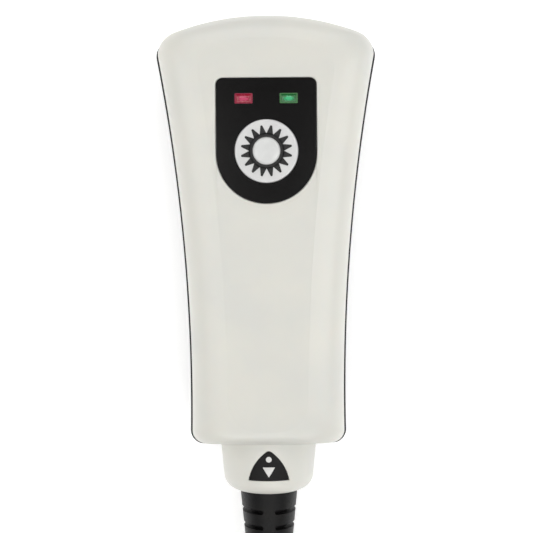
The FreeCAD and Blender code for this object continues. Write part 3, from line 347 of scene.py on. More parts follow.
def outward(obj):
    """Turns every face of a closed piece outwards, after its doubles are merged."""
    work = bmesh.new()
    work.from_mesh(obj.data)
    bmesh.ops.remove_doubles(work, verts=work.verts, dist=MERGE_REACH)
    bmesh.ops.recalc_face_normals(work, faces=work.faces)
    work.to_mesh(obj.data)
    work.free()
    crisp(obj.data)
    return obj


def join(name, *objs):
    """One object from several closed pieces."""
    work = bmesh.new()
    for obj in objs:
        work.from_mesh(obj.data)
        bpy.data.objects.remove(obj)
    mesh = bpy.data.meshes.new(name)
    work.to_mesh(mesh)
    work.free()
    crisp(mesh)
    return in_scene(name, mesh)


def bake(obj):
    """Replaces an object's mesh by what its modifiers make of it, and removes them."""
    depsgraph = bpy.context.evaluated_depsgraph_get()
    mesh = bpy.data.meshes.new_from_object(obj.evaluated_get(depsgraph))
    obj.modifiers.clear()
    obj.data = mesh
    return obj


def carve(obj, tool, operation="DIFFERENCE"):
    """Cuts, joins or trims a closed piece with another one, which is used up."""
    change = obj.modifiers.new("carve", "BOOLEAN")
    change.object = tool
    change.operation = operation
    change.solver = "EXACT"
    bake(obj)
    bpy.data.objects.remove(tool)
    crisp(obj.data)
    return obj


def soften(obj, width_mm):
    """Rounds the sharp edges of a finished piece a little."""
    edge = obj.modifiers.new("soft_edges", "BEVEL")
    edge.width = width_mm * MM
    edge.segments = 2
    edge.limit_method = "ANGLE"
    edge.angle_limit = SHARP
    edge.use_clamp_overlap = True
    bake(obj)
    crisp(obj.data)
    return obj


def short_way(start, end):
    """The end angle, a whole turn on or back where that makes the arc the short one."""
    if end - start > math.pi:
        return end - 2 * math.pi
    return end + 2 * math.pi if start - end > math.pi else end


def arc_points(centre, radius, start, end, count):
    """Points on a plane arc between two angles in radians, both ends included."""
    return [(centre[0] + radius * math.cos(a), centre[1] + radius * math.sin(a))
            for a in (start + (end - start) * k / (count - 1) for k in range(count))]


def rounded(corners, radius, steps):
    """A closed plane outline whose corners are arcs of one radius."""
    outline = []
    for i, here in enumerate(corners):
        here = Vector(here)
        back = Vector(corners[i - 1]) - here
        on = Vector(corners[(i + 1) % len(corners)]) - here
        half_turn = (math.pi - back.angle(on)) / 2
        touch = min(radius * math.tan(half_turn), back.length * 0.49, on.length * 0.49)
        bend = touch / math.tan(half_turn)
        inward = (back.normalized() + on.normalized()).normalized()
        middle = here + inward * math.hypot(bend, touch)
        enter = here + back.normalized() * touch - middle
        leave = here + on.normalized() * touch - middle
        a = math.atan2(enter.y, enter.x)
        b = short_way(a, math.atan2(leave.y, leave.x))
        outline += arc_points(middle, bend, a, b, steps + 1)
    return outline


def upright(radius, angle, height):
    """Turned about the button's own axis."""
    return (radius * math.cos(angle), BUTTON_Y + radius * math.sin(angle), height)


def along_neck(radius, angle, height):
    """Turned about the neck's axis, which runs along Y."""
    return (radius * math.sin(angle), height, NECK_Z + radius * math.cos(angle))


PLUG_AIM = Vector((math.cos(PLUG_TURN), math.sin(PLUG_TURN), 0))
PLUG_SIDE = Vector((-math.sin(PLUG_TURN), math.cos(PLUG_TURN), 0))


def along_plug(radius, angle, height):
    """Turned about the far plug's axis."""
    return tuple(PLUG_START + PLUG_AIM * height + PLUG_SIDE * (radius * math.cos(angle))
                 + Vector((0, 0, radius * math.sin(angle))))


def turned(name, profile, placed, steps):
    """A closed piece turned from a closed profile of (radius, height)."""
    angles = [2 * math.pi * k / steps for k in range(steps)]
    return solid(name, [[placed(r, a, h) for r, h in profile] for a in angles], wrap=True)


def flat_plate(name, outlines, low, high, edge):
    """A plate with holes: plane outlines in millimetres, filled, raised and edge-rounded."""
    curve = bpy.data.curves.new(name, "CURVE")
    curve.dimensions = "2D"
    curve.fill_mode = "BOTH"
    curve.extrude = ((high - low) / 2 - edge) * MM
    curve.bevel_depth = edge * MM
    curve.bevel_resolution = 2
    curve.offset = -edge * MM
    for outline in outlines:
        spline = curve.splines.new("POLY")
        spline.points.add(len(outline) - 1)
        for point, (x, y) in zip(spline.points, outline, strict=True):
            point.co = (x * MM, y * MM, 0, 1)
        spline.use_cyclic_u = True
    holder = in_scene(name + "_outline", curve)
    depsgraph = bpy.context.evaluated_depsgraph_get()
    mesh = bpy.data.meshes.new_from_object(holder.evaluated_get(depsgraph))
    bpy.data.objects.remove(holder)
    mesh.name = name
    mesh.transform(Matrix.Translation((0, 0, (low + high) / 2 * MM)))
    return outward(in_scene(name, mesh))


def raise_outline(outline, z):
    return [(x, y, z) for x, y in outline]


def prism(name, outline, low, high):
    """A straight-sided closed solid on a plane outline."""
    return solid(name, [raise_outline(outline, z) for z in (low, high)])


def box(x0, y0, x1, y1):
    """The four corners of a rectangle, in order round it."""
    return [(x0, y0), (x1, y0), (x1, y1), (x0, y1)]


def disc(centre, radius, count=48):
    return [(centre[0] + radius * math.cos(2 * math.pi * k / count),
             centre[1] + radius * math.sin(2 * math.pi * k / count)) for k in range(count)]


# ---------------------------------------------------------------- patterns made by node trees
def node_tree(name, *inputs):
    """A geometry tree with named inputs; a Count is a whole number, the others are lengths."""
    tree = bpy.data.node_groups.new(name, "GeometryNodeTree")
    tree.interface.new_socket("Geometry", in_out="INPUT", socket_type="NodeSocketGeometry")
    tree.interface.new_socket("Geometry", in_out="OUTPUT", socket_type="NodeSocketGeometry")
    for socket in inputs:
        kind = "NodeSocketInt" if socket == "Count" else "NodeSocketFloat"
        tree.interface.new_socket(socket, in_out="INPUT", socket_type=kind)
    return tree, add(tree, "NodeGroupInput")


def close_tree(tree, shape, material):
    """Ends a tree in real geometry with its material."""
    real = add(tree, "GeometryNodeRealizeInstances", {"Geometry": shape})
    dressed = add(tree, "GeometryNodeSetMaterial", {"Geometry": real.outputs[0],
                                                    "Material": material})
    add(tree, "NodeGroupOutput", {"Geometry": dressed.outputs[0]})


def grow(name, tree, spots, values):
    """Runs a tree on loose points in millimetres and returns the plain mesh as an object."""
    mesh = bpy.data.meshes.new(name)
    mesh.from_pydata([Vector(p) * MM for p in spots], [], [])
    obj = in_scene(name, mesh)
    change = obj.modifiers.new("pattern", "NODES")
    change.node_group = tree
    for socket in tree.interface.items_tree:
        if socket.item_type == "SOCKET" and socket.in_out == "INPUT" and socket.name in values:
            change[socket.identifier] = values[socket.name]
    bake(obj)
    return obj


def screw_tree():
    """A cross-recessed screw head and its shank on every point."""
    tree, entry = node_tree("screw_on_points", "Head Radius", "Head Height", "Head Lift",
                            "Shank Radius", "Shank Height", "Shank Lift")
    parts = []
    for part, steps in (("Head", 48), ("Shank", 24)):
        bar = add(tree, "GeometryNodeMeshCylinder", {
            "Vertices": steps, "Radius": entry.outputs[part + " Radius"],
            "Depth": entry.outputs[part + " Height"]}).outputs[0]
        lift = add(tree, "ShaderNodeCombineXYZ", {"Z": entry.outputs[part + " Lift"]}).outputs[0]
        parts.append(add(tree, "GeometryNodeTransform",
                         {"Geometry": bar, "Translation": lift}).outputs[0])
    arms = [add(tree, "GeometryNodeMeshCube", {"Size": Vector(size) * MM}).outputs[0]
            for size in ((2.9, 0.62, 1.9), (0.62, 2.9, 1.9))]
    cross = add(tree, "GeometryNodeJoinGeometry", {0: arms}).outputs[0]
    parts[0] = add(tree, "GeometryNodeMeshBoolean", {"Mesh 1": parts[0], "Mesh 2": cross},
                   operation="DIFFERENCE", solver="EXACT").outputs[0]
    whole = add(tree, "GeometryNodeJoinGeometry", {0: parts}).outputs[0]
    copies = add(tree, "GeometryNodeInstanceOnPoints", {
        "Points": entry.outputs["Geometry"], "Instance": whole}).outputs[0]
    close_tree(tree, copies, FINISH["zinc_steel"])
    return tree


def round_array(tree, entry, instance):
    """Copies of a shape on a circle, each turned to face out."""
    ring = add(tree, "GeometryNodeMeshCircle", {"Vertices": entry.outputs["Count"],
                                                "Radius": entry.outputs["Radius"]}).outputs[0]
    index = add(tree, "GeometryNodeInputIndex").outputs[0]
    step = add(tree, "ShaderNodeMath", {0: 2 * math.pi, 1: entry.outputs["Count"]},
               operation="DIVIDE").outputs[0]
    turn = add(tree, "ShaderNodeMath", {0: index, 1: step}, operation="MULTIPLY").outputs[0]
    aim = add(tree, "ShaderNodeCombineXYZ", {"Z": turn}).outputs[0]
    return add(tree, "GeometryNodeInstanceOnPoints", {
        "Points": ring, "Instance": instance, "Rotation": aim}).outputs[0]


def raised_fill(tree, outline, height):
    """A closed flat shape of the given height on a filled curve."""
    filled = add(tree, "GeometryNodeFillCurve", {"Curve": outline}, mode="NGONS").outputs[0]
    top = add(tree, "GeometryNodeExtrudeMesh", {"Mesh": filled, "Offset": (0, 0, 1),
                                                "Offset Scale": height,
                                                "Individual": False}).outputs[0]
    under = add(tree, "GeometryNodeFlipFaces", {"Mesh": filled}).outputs[0]
    return add(tree, "GeometryNodeMergeByDistance", {
        "Geometry": add(tree, "GeometryNodeJoinGeometry", {0: [top, under]}).outputs[0],
        "Distance": MERGE_REACH}).outputs[0]


def sun_tree():
    """A ring with pointed rays round it, each ray with a rounded tip."""
    tree, entry = node_tree("sun_with_rays", "Count", "Radius", "Ray Length", "Ray Foot",
                            "Ray Tip", "Ring Outside", "Ring Inside", "Thickness")
    ray = add(tree, "GeometryNodeCurvePrimitiveQuadrilateral", {
        "Height": entry.outputs["Ray Length"], "Bottom Width": entry.outputs["Ray Foot"],
        "Top Width": entry.outputs["Ray Tip"], "Offset": 0.0}, mode="TRAPEZOID").outputs[0]
    soft = add(tree, "GeometryNodeFilletCurve", {
        "Curve": ray, "Count": 5, "Radius": 0.2 * MM, "Limit Radius": True}, mode="POLY").outputs[0]
    solid = raised_fill(tree, soft, entry.outputs["Thickness"])
    solid = add(tree, "GeometryNodeTransform", {"Geometry": solid,
                                                "Rotation": (0, 0, -math.pi / 2)}).outputs[0]
    rays = round_array(tree, entry, solid)
    rings = [add(tree, "GeometryNodeCurvePrimitiveCircle", {
        "Resolution": 96, "Radius": entry.outputs[edge]}, mode="RADIUS").outputs[0]
        for edge in ("Ring Outside", "Ring Inside")]
    ring_edges = add(tree, "GeometryNodeJoinGeometry", {0: rings}).outputs[0]
    band = raised_fill(tree, ring_edges, entry.outputs["Thickness"])
    sun = add(tree, "GeometryNodeJoinGeometry", {0: [rays, band]}).outputs[0]
    close_tree(tree, sun, FINISH["black_ink"])
    return tree


def nosed_bar(tree, radius, length, steps, rings, ends):
    """A round bar along Z with a ball on its upper end (1), its lower end (-1) or both."""
    shapes = [add(tree, "GeometryNodeMeshCylinder", {
        "Vertices": steps, "Radius": radius, "Depth": length}).outputs[0]]
    ball = add(tree, "GeometryNodeMeshUVSphere", {
        "Segments": steps, "Rings": rings, "Radius": radius}).outputs[0]
    for end in ends:
        reach = add(tree, "ShaderNodeMath", {0: length, 1: end / 2}, operation="MULTIPLY").outputs[0]
        place = add(tree, "ShaderNodeCombineXYZ", {"Z": reach}).outputs[0]
        shapes.append(add(tree, "GeometryNodeTransform",
                          {"Geometry": ball, "Translation": place}).outputs[0])
    return add(tree, "GeometryNodeJoinGeometry", {0: shapes}).outputs[0]


def rib_tree():
    """Round-ended ribs in a circle, each lying along the axis."""
    tree, entry = node_tree("ribs_in_a_circle", "Count", "Radius", "Length", "Thickness")
    rib = nosed_bar(tree, entry.outputs["Thickness"], entry.outputs["Length"], 12, 8, (1, -1))
    close_tree(tree, round_array(tree, entry, rib), FINISH["grained_black"])
    return tree


def pin_tree():
    """A round-nosed pin on every point, lying along +Z."""
    tree, entry = node_tree("pin_on_points", "Radius", "Length")
    pin = nosed_bar(tree, entry.outputs["Radius"], entry.outputs["Length"], 20, 10, (1,))
    copies = add(tree, "GeometryNodeInstanceOnPoints", {
        "Points": entry.outputs["Geometry"], "Instance": pin}).outputs[0]
    close_tree(tree, copies, FINISH["gold_plate"])
    return tree


# ---------------------------------------------------------------- the lead
# Given points of the lead's free runs, in metres, as in the CAD route.
CORD_RUN = [
    (0.0, -0.1158, 0.0158), (0.00058, -0.12678, 0.0142), (0.00361, -0.13736, 0.0106),
    (0.00927, -0.14679, 0.0064), (0.01663, -0.15496, 0.0041),
]
TAIL_RUN = [
    (-0.0582, -0.1738, 0.0121), (-0.0544, -0.1616, 0.0149), (-0.0458, -0.1519, 0.0184),
    (-0.0342, -0.1462, 0.0209), (-0.0214, -0.1454, 0.0215),
]
TURN_POINTS = 14
COIL_TURNS = 5.586
COIL_ENTRY = math.radians(31)
EXIT_FADE = 0.12  # the share of a turn in which the lead comes down onto its leaving point
STEP = 0.22  # the share of a turn in which the lead moves one diameter sideways or up


def eased(value, start, end):
    share = min(1.0, max(0.0, (value - start) / (end - start)))
    return share * share * (3 - 2 * share)


def coil_point(turns):
    """Where the wound lead is after so many turns: three turns inwards, then out on top."""
    wide, middle, tight = COIL_RADII
    radius = wide + (middle - wide) * eased(turns, 1 - STEP, 1)
    radius += (tight - middle) * eased(turns, 2 - STEP, 2)
    radius += (middle - tight) * eased(turns, 4 - 2 * STEP, 4 - STEP)
    radius += (wide - middle) * eased(turns, 5 - 2 * STEP, 5 - STEP)
    low, high = COIL_LEVELS
    level = low + (high - low) * eased(turns, 3 - 2 * STEP, 3 - STEP)
    # A quadratic spline runs inside its control polygon, so the polygon is a little larger,
    # except where the lead leaves the coil.
    outside = 4 / (3 + math.cos(2 * math.pi / TURN_POINTS))
    outside += (1 - outside) * eased(turns, COIL_TURNS - EXIT_FADE, COIL_TURNS)
    angle = COIL_ENTRY - 2 * math.pi * turns
    return ((COIL_CENTRE[0] + radius * outside * math.cos(angle)) * MM,
            (COIL_CENTRE[1] + radius * outside * math.sin(angle)) * MM, level * MM)


def make_lead():
    count = round(COIL_TURNS * TURN_POINTS)
    points = CORD_RUN + [coil_point(k * COIL_TURNS / count) for k in range(count + 1)] + TAIL_RUN
    curve = bpy.data.curves.new("lead", "CURVE")
    curve.dimensions = "3D"
    curve.bevel_depth = CORD_RADIUS * MM
    curve.bevel_resolution = 8
    curve.resolution_u = 6
    curve.use_fill_caps = True
    spline = curve.splines.new("NURBS")
    spline.points.add(len(points) - 1)
    for point, place in zip(spline.points, points, strict=True):
        point.co = (*place, 1)
    spline.order_u = 3
    spline.use_endpoint_u = True
    spline.use_smooth = True
    return settle(in_scene("lead", curve), "housing", "cord_jacket", "cord", "cord_coil",
                  "cord_tail")


TIE_GAP = 0.06
TIE_THICK = 0.45
TIE_CORNER = 3.4
TIE_HALF = 7.0


def make_tie():
    """A soft band of tape round all the turns."""
    near = COIL_CENTRE[1] - COIL_RADII[2] + CORD_RADIUS
    far = COIL_CENTRE[1] - COIL_RADII[0] - CORD_RADIUS
    low = COIL_LEVELS[0] - CORD_RADIUS
    high = COIL_LEVELS[1] + CORD_RADIUS
    loops = []
    for grow_by in (0.0, TIE_THICK):
        gap = TIE_GAP + grow_by
        sides = box(low - gap, near + gap, high + gap, far - gap)
        loops.append(rounded([(y, z) for z, y in sides], TIE_CORNER + grow_by, 8))
    inner, outer = loops
    rings = []
    for side, outline in ((-TIE_HALF, inner), (-TIE_HALF, outer), (-6.6, outer), (-2.2, outer),
                          (2.2, outer), (6.6, outer), (TIE_HALF, outer), (TIE_HALF, inner)):
        rings.append([(COIL_CENTRE[0] + side, y, z) for y, z in outline])
    return settle(solid("lead_tie", rings, wrap=True), "housing", "tie_fabric", "cord_tie")


# ---------------------------------------------------------------- housing outlines
# Each level: share of the height, inset at crown, flanks and foot, and how much the head's and
# the foot's corners grow.
FRONT_LEVELS = [
    (0.0, 0.0, 0.0, 0.0, 0.0, 0.0), (0.32, 0.1, 0.35, 0.45, 0.7, 0.5),
    (0.56, 0.35, 1.2, 1.0, 1.2, 1.3), (0.74, 1.1, 2.8, 1.6, 1.7, 2.1),
    (0.88, 2.7, 5.2, 2.5, 2.3, 3.0), (0.965, 5.0, 8.0, 3.8, 3.0, 4.0),
    (1.0, 8.0, 11.0, 5.6, 3.6, 5.0),
]
REAR_LEVELS = [
    (0.0, 5.0, 5.0, 2.2, 1.0, 1.8), (0.08, 2.6, 2.6, 1.0, 0.6, 1.0),
    (0.2, 1.0, 1.0, 0.4, 0.2, 0.4), (0.42, 0.2, 0.2, 0.1, 0.0, 0.0),
    (1.0, 0.0, 0.0, 0.0, 0.0, 0.0),
]
INNER_CORNERS = (1.0, 1.4)  # how much tighter the head's and the foot's corners are inside
NECK_CLEARANCE = 0.06
BUTTON_CLEARANCE = 0.15
PANEL_CLEARANCE = 0.1
FOOT_BOW = 0.7  # how far the foot's edge draws back at its corners
STATIONS = {"crown": 24, "head": 12, "flank": 44, "foot": 10, "sole": 14}
FLARE = HEAD_HALF - WAIST_HALF
SPAN = 2 * HALF_LENGTH - (WAIST_Y + HALF_LENGTH) - HEAD_SETBACK
FLANK_RADIUS = (SPAN**2 + FLARE**2) / (2 * FLARE)


def arc_between(centre, radius, first, last, count):
    """count points on the short arc from first towards last, without the last one."""
    a = math.atan2(first.y - centre.y, first.x - centre.x)
    b = short_way(a, math.atan2(last.y - centre.y, last.x - centre.x))
    return arc_points(centre, radius, a, b, count + 1)[:-1]


def mirrored(right):
    """A whole outline from its right half, which starts and ends on the middle line."""
    return right + [(-x, y) for x, y in reversed(right[1:-1])]


def housing_outline(crown_inset, inset, foot_inset, head_grow=0.0, foot_grow=0.0):
    """The housing's outline from the middle of its crown, clockwise."""
    head_corner, foot_corner = CORNERS[0] + head_grow, CORNERS[1] + foot_grow
    crown = CROWN_RADIUS - crown_inset
    flank_r = FLANK_RADIUS + inset
    top = Vector((0, HALF_LENGTH - CROWN_RADIUS))
    right = Vector((WAIST_HALF + FLANK_RADIUS, WAIST_Y))
    near, far, gap = crown - head_corner, flank_r + head_corner, (right - top).length
    along = (near**2 - far**2 + gap**2) / (2 * gap)
    unit = (right - top) / gap
    corner = top + unit * along + Vector((-unit.y, unit.x)) * math.sqrt(near**2 - along**2)
    on_crown = top + (corner - top).normalized() * crown
    on_flank = right + (corner - right).normalized() * flank_r
    base = -HALF_LENGTH + foot_inset
    low_y = base + foot_corner
    reach = flank_r + foot_corner
    low = Vector((right.x - math.sqrt(reach**2 - (low_y - WAIST_Y) ** 2), low_y))
    low_flank = right + (low - right).normalized() * flank_r
    half = arc_between(top, crown, Vector((0, top.y + crown)), on_crown, STATIONS["crown"])
    half += arc_between(corner, head_corner, on_crown, on_flank, STATIONS["head"])
    half += arc_between(right, flank_r, on_flank, low_flank, STATIONS["flank"])
    half += arc_between(low, foot_corner, low_flank, Vector((low.x, base)), STATIONS["foot"])
    count = STATIONS["sole"]
    half += [(low.x * (1 - k / count), base) for k in range(count + 1)]
    half = [(x, y + FOOT_BOW * (x / WAIST_HALF) ** 2 * eased(-y, HALF_LENGTH - 14, HALF_LENGTH))
            for x, y in half]
    return mirrored(half)


def panel_outline(margin):
    """The panel's D with as many points as the housing's outline, matched to it."""
    half, top = PANEL_HALF + margin, PANEL_TOP + margin
    corner = max(0.4, PANEL_CORNER + margin)
    round_y = PANEL_BOTTOM + PANEL_HALF
    count = STATIONS["crown"]
    right = [((half - corner) * k / count, top) for k in range(count)]
    centre = Vector((half - corner, top - corner))
    right += arc_between(centre, corner, Vector((half - corner, top)),
                         Vector((half, top - corner)), STATIONS["head"])
    side = top - corner - round_y
    quarter = half * math.pi / 2
    marks = [0.0, side + quarter * 0.5, side + quarter * 0.72, side + quarter]
    for first, last, number in zip(marks, marks[1:], (STATIONS["flank"], STATIONS["foot"],
                                                      STATIONS["sole"]), strict=False):
        for k in range(number):
            run = first + (last - first) * k / number
            if run < side:
                right.append((half, top - corner - run))
            else:
                angle = (run - side) / half
                right.append((half * math.cos(angle), round_y - half * math.sin(angle)))
    right.append((0.0, round_y - half))
    return mirrored(right)


def smoothed(levels, steps):
    """Levels with even steps between them on a smooth curve through all of them."""
    result = []
    for i in range(len(levels) - 1):
        p0 = levels[max(0, i - 1)]
        p1, p2 = levels[i], levels[i + 1]
        p3 = levels[min(len(levels) - 1, i + 2)]
        for k in range(steps):
            t = k / steps
            result.append(tuple(
                0.5 * (2 * b + (c - a) * t + (2 * a - 5 * b + 4 * c - d) * t * t
                       + (3 * b - a - 3 * c + d) * t**3)
                for a, b, c, d in zip(p0, p1, p2, p3, strict=True)))
    result.append(levels[-1])
    return result


def neck_cutter(name):
    """A round bar that lets the neck through the foot wall."""
    radius = NECK_RADII[0] + NECK_CLEARANCE
    return solid(name, [[along_neck(radius, 2 * math.pi * k / 96, y) for k in range(96)]
                        for y in (-64.0, -54.5)])


def inner_wall(crown_in, inset, foot_in, head, low):
    """The outline of the wall's inner face at one level."""
    return housing_outline(WALL + crown_in, WALL + inset, WALL + foot_in,
                           head - INNER_CORNERS[0], low - INNER_CORNERS[1])


def make_front():
    """The white front: one closed skin from the seam over the face into the panel's recess."""
    base, height = SEAM + GASKET, FACE - SEAM - GASKET
    rings = [raise_outline(housing_outline(0.18, 0.18, 0.18), base)]
    for share, *level in smoothed(FRONT_LEVELS, 6):
        lift = 0.16 if share < 0.01 else 0.0
        z = min(FACE, base + height * share + lift)
        rings.append(raise_outline(housing_outline(*level), z))
    outer = housing_outline(*FRONT_LEVELS[-1][1:])
    lip = 0.3
    inner = panel_outline(PANEL_CLEARANCE + lip)
    for k in range(1, 13):
        share = (k / 12) ** 0.8
        ring = []
        for (x0, y0), (x1, y1) in zip(outer, inner, strict=True):
            x, y = x0 + (x1 - x0) * share, y0 + (y1 - y0) * share
            away = math.hypot(x - x1, y - y1)
            dip = DISH_DEPTH * (1 - eased(away, 0.0, DISH_REACH))
            ring.append((x, y, FACE - dip))
        rings.append(ring)
    edge = FACE - DISH_DEPTH
    for turn in (30, 60, 90):
        a = math.radians(turn)
        outline = panel_outline(PANEL_CLEARANCE + lip * (1 - math.sin(a)))
        rings.append(raise_outline(outline, edge - lip * (1 - math.cos(a))))
    floor_in = panel_outline(-3.4)
    rings.append(raise_outline(panel_outline(PANEL_CLEARANCE), PANEL_Z[0]))
    rings.append(raise_outline(floor_in, PANEL_Z[0]))
    rings.append(raise_outline(floor_in, FACE - WALL))
    share_kept = 1 - WALL / height
    for share, *level in reversed(FRONT_LEVELS):
        rings.append(raise_outline(inner_wall(*level), base + height * share_kept * share))
    shell = solid("front_shell", rings, wrap=True)
    carve(shell, neck_cutter("front_neck_cut"))
    outlines = [panel_outline(-3.0)] + face_openings(96, 0.1, 0.2)
    seat = flat_plate("panel_seat", outlines, FACE - WALL, PANEL_Z[0] - 0.02, 0.02)
    shell = join("front_shell", shell, seat)
    return settle(shell, "housing", "white_shell", "front_cover")


def window_outline(x, margin, corner):
    half_x, half_y = WINDOW_HALF[0] + margin, WINDOW_HALF[1] + margin
    corners = box(x - half_x, WINDOW_Y - half_y, x + half_x, WINDOW_Y + half_y)
    return rounded(corners, corner, 6)


def face_openings(steps, margin, corner):
    """The openings for the button and for both windows."""
    button = disc((0, BUTTON_Y), BUTTON_RADIUS + BUTTON_CLEARANCE, steps)
    return [button] + [window_outline(side * WINDOW_X, margin, corner) for side in (1, -1)]


def make_rear():
    """The black rear: flat back, rounded flanks and a wider rim at the seam."""
    rings = [raise_outline(housing_outline(5.6, 5.6, 2.8, 1.0, 1.8), 0.0)]
    for share, *level in smoothed(REAR_LEVELS, 6)[1:]:
        z = SEAM * share
        if z < SEAM - RIM_HEIGHT - 0.4:
            rings.append(raise_outline(housing_outline(*level), z))
    soft = 0.22
    for stand, z in ((0.0, SEAM - RIM_HEIGHT - 0.25), (0.06, SEAM - RIM_HEIGHT),
                     (RIM_STAND - soft, SEAM - RIM_HEIGHT), (RIM_STAND, SEAM - RIM_HEIGHT + soft),
                     (RIM_STAND, SEAM - soft), (RIM_STAND - soft * 0.3, SEAM - soft * 0.3),
                     (RIM_STAND - soft, SEAM)):
        rings.append(raise_outline(housing_outline(-stand, -stand, -stand, stand, stand), z))
    keep_share = 1 - WALL / SEAM
    for share, *level in reversed(REAR_LEVELS):
        rings.append(raise_outline(inner_wall(*level), SEAM - SEAM * keep_share * (1 - share)))
    shell = solid("rear_shell", rings)
    bosses = [prism(f"boss_{k}", disc(spot, 3.9), WALL - 0.5, SEAM - 0.02)
              for k, spot in enumerate(SCREWS)]
    carve(shell, join("bosses", *bosses), "UNION")
    cuts = [prism(f"sink_{k}", disc(spot, 2.9), -1.0, 7.0) for k, spot in enumerate(SCREWS)]
    cuts.append(prism("plate_cut", plate_outline(0.1), -1.0, 0.5))
    carve(shell, join("sinks", *cuts))
    carve(shell, neck_cutter("rear_neck_cut"))
    return settle(shell, "housing", "black_shell", "rear_cover")


def plate_outline(margin):
    """The foil plate's outline on the back."""
    return rounded(box(-12.0 - margin, -14.0 - margin, 12.0 + margin, 22.0 + margin), 1.2, 5)


def make_seal():
    rings = []
    tight = [-corner for corner in INNER_CORNERS]
    outside, inside = housing_outline(0.3, 0.3, 0.3), housing_outline(1.8, 1.8, 1.8, *tight)
    for outline, z in ((outside, SEAM), (outside, SEAM + GASKET), (inside, SEAM + GASKET),
                       (inside, SEAM)):
        rings.append(raise_outline(outline, z))
    seal = solid("seam_seal", rings, wrap=True)
    carve(seal, neck_cutter("seal_neck_cut"))
    return settle(seal, "housing", "black_rubber", "seam_gasket")


def make_back_details():
    head, shank = 2.0 * MM, 16.0 * MM
    sizes = {"Head Radius": 2.6 * MM, "Head Height": head, "Head Lift": head / 2,
             "Shank Radius": 1.5 * MM, "Shank Height": shank, "Shank Lift": head + shank / 2}
    seats = [(x, y, SCREW_SEAT) for x, y in SCREWS]
    screws = grow("shell_screws", screw_tree(), seats, sizes)
    crisp(screws.data)
    settle(screws, "housing", "zinc_steel", "case_screws")
    plate = flat_plate("back_plate", [plate_outline(-0.05)], 0.08, 0.46, 0.08)
    settle(plate, "housing", "silver_foil", "rear_plate")


# ---------------------------------------------------------------- face
def make_panel():
    outlines = [panel_outline(0.0)] + face_openings(128, 0.02, 0.3)
    panel = flat_plate("face_panel", outlines, *PANEL_Z, 0.07)
    return settle(panel, "housing", "black_panel", "panel_overlay")


def make_window(side, colour):
    """A lens with a frame ridge, a sunk tray and a raised middle."""
    x = side * WINDOW_X
    steps = [(0.0, 31.8), (0.0, WINDOW_TOP - 0.06), (-0.08, WINDOW_TOP), (-0.34, WINDOW_TOP),
             (-0.46, WINDOW_TOP - 0.22), (-0.62, WINDOW_TOP - 0.26), (-0.85, WINDOW_TOP - 0.14),
             (-1.1, WINDOW_TOP - 0.08), (-1.3, WINDOW_TOP - 0.06)]
    rings = []
    for margin, z in steps:
        corner = max(0.05, 0.28 + margin * 0.3)
        rings.append([(px, py, z) for px, py in window_outline(x, margin, corner)])
    lens = solid(f"{colour}_lens_cap", rings)
    return settle(lens, "housing", f"{colour}_lens", f"{colour}_window")


BUTTON_ROUND = 0.35
DOME_RADIUS = 3.45
DOME_FALL = 0.32


def make_button():
    face_in = FACE - WALL
    flat = BUTTON_RADIUS - BUTTON_ROUND
    profile = [(3.77, face_in + 0.2), (3.77, BUTTON_TOP - 0.06), (3.83, BUTTON_TOP),
               (5.5, BUTTON_TOP), (7.2, BUTTON_TOP)]
    for k in range(7):
        a = math.radians(15 * k)
        profile.append((flat + BUTTON_ROUND * math.sin(a),
                        BUTTON_TOP - BUTTON_ROUND + BUTTON_ROUND * math.cos(a)))
    profile += [(BUTTON_RADIUS, face_in - 0.1), (10.3, face_in - 0.1), (10.3, face_in - 1.2),
                (5.95, face_in - 1.2), (5.95, face_in + 0.2)]
    cap = turned("button_cap", profile, upright, 128)
    settle(cap, "sun_button", "white_button", "sun_button")
    crown = BUTTON_TOP + 0.5
    dome = [(0.0, crown)]
    for k in range(1, 9):
        r = DOME_RADIUS * k / 8
        dome.append((r, crown - DOME_FALL * (r / DOME_RADIUS) ** 2.2))
    dome += [(3.66, BUTTON_TOP + 0.08), (3.74, BUTTON_TOP), (3.74, face_in + 0.18),
             (4.95, face_in + 0.18), (4.95, face_in - 0.8), (0.0, face_in - 0.8)]
    lens = turned("opal_dome", dome, upright, 96)
    settle(lens, "sun_button", "opal_lens", "light_diffuser")
    sizes = {"Count": 16, "Radius": 5.92 * MM, "Ray Length": 2.56 * MM, "Ray Foot": 1.95 * MM,
             "Ray Tip": 0.5 * MM, "Ring Outside": 4.95 * MM, "Ring Inside": 3.86 * MM,
             "Thickness": 0.12 * MM}
    sun = grow("sun_mark", sun_tree(), [(0, 0, 0)], sizes)
    quarter = Matrix.Rotation(math.pi / 16, 4, "Z")
    sun.data.transform(Matrix.Translation((0, BUTTON_Y * MM, BUTTON_TOP * MM)) @ quarter)
    crisp(sun.data)
    settle(sun, "sun_button", "black_ink", "sun_print")


# ---------------------------------------------------------------- neck and latch
LATCH_LOW = -71.1
LATCH_HALF = 5.75
LATCH_SIDE = 13.4
LATCH_TIP = 1.2
LATCH_CENTRE = -68.0
ARCH_STEPS = {"flank": 18, "tip": 6, "foot": 14}


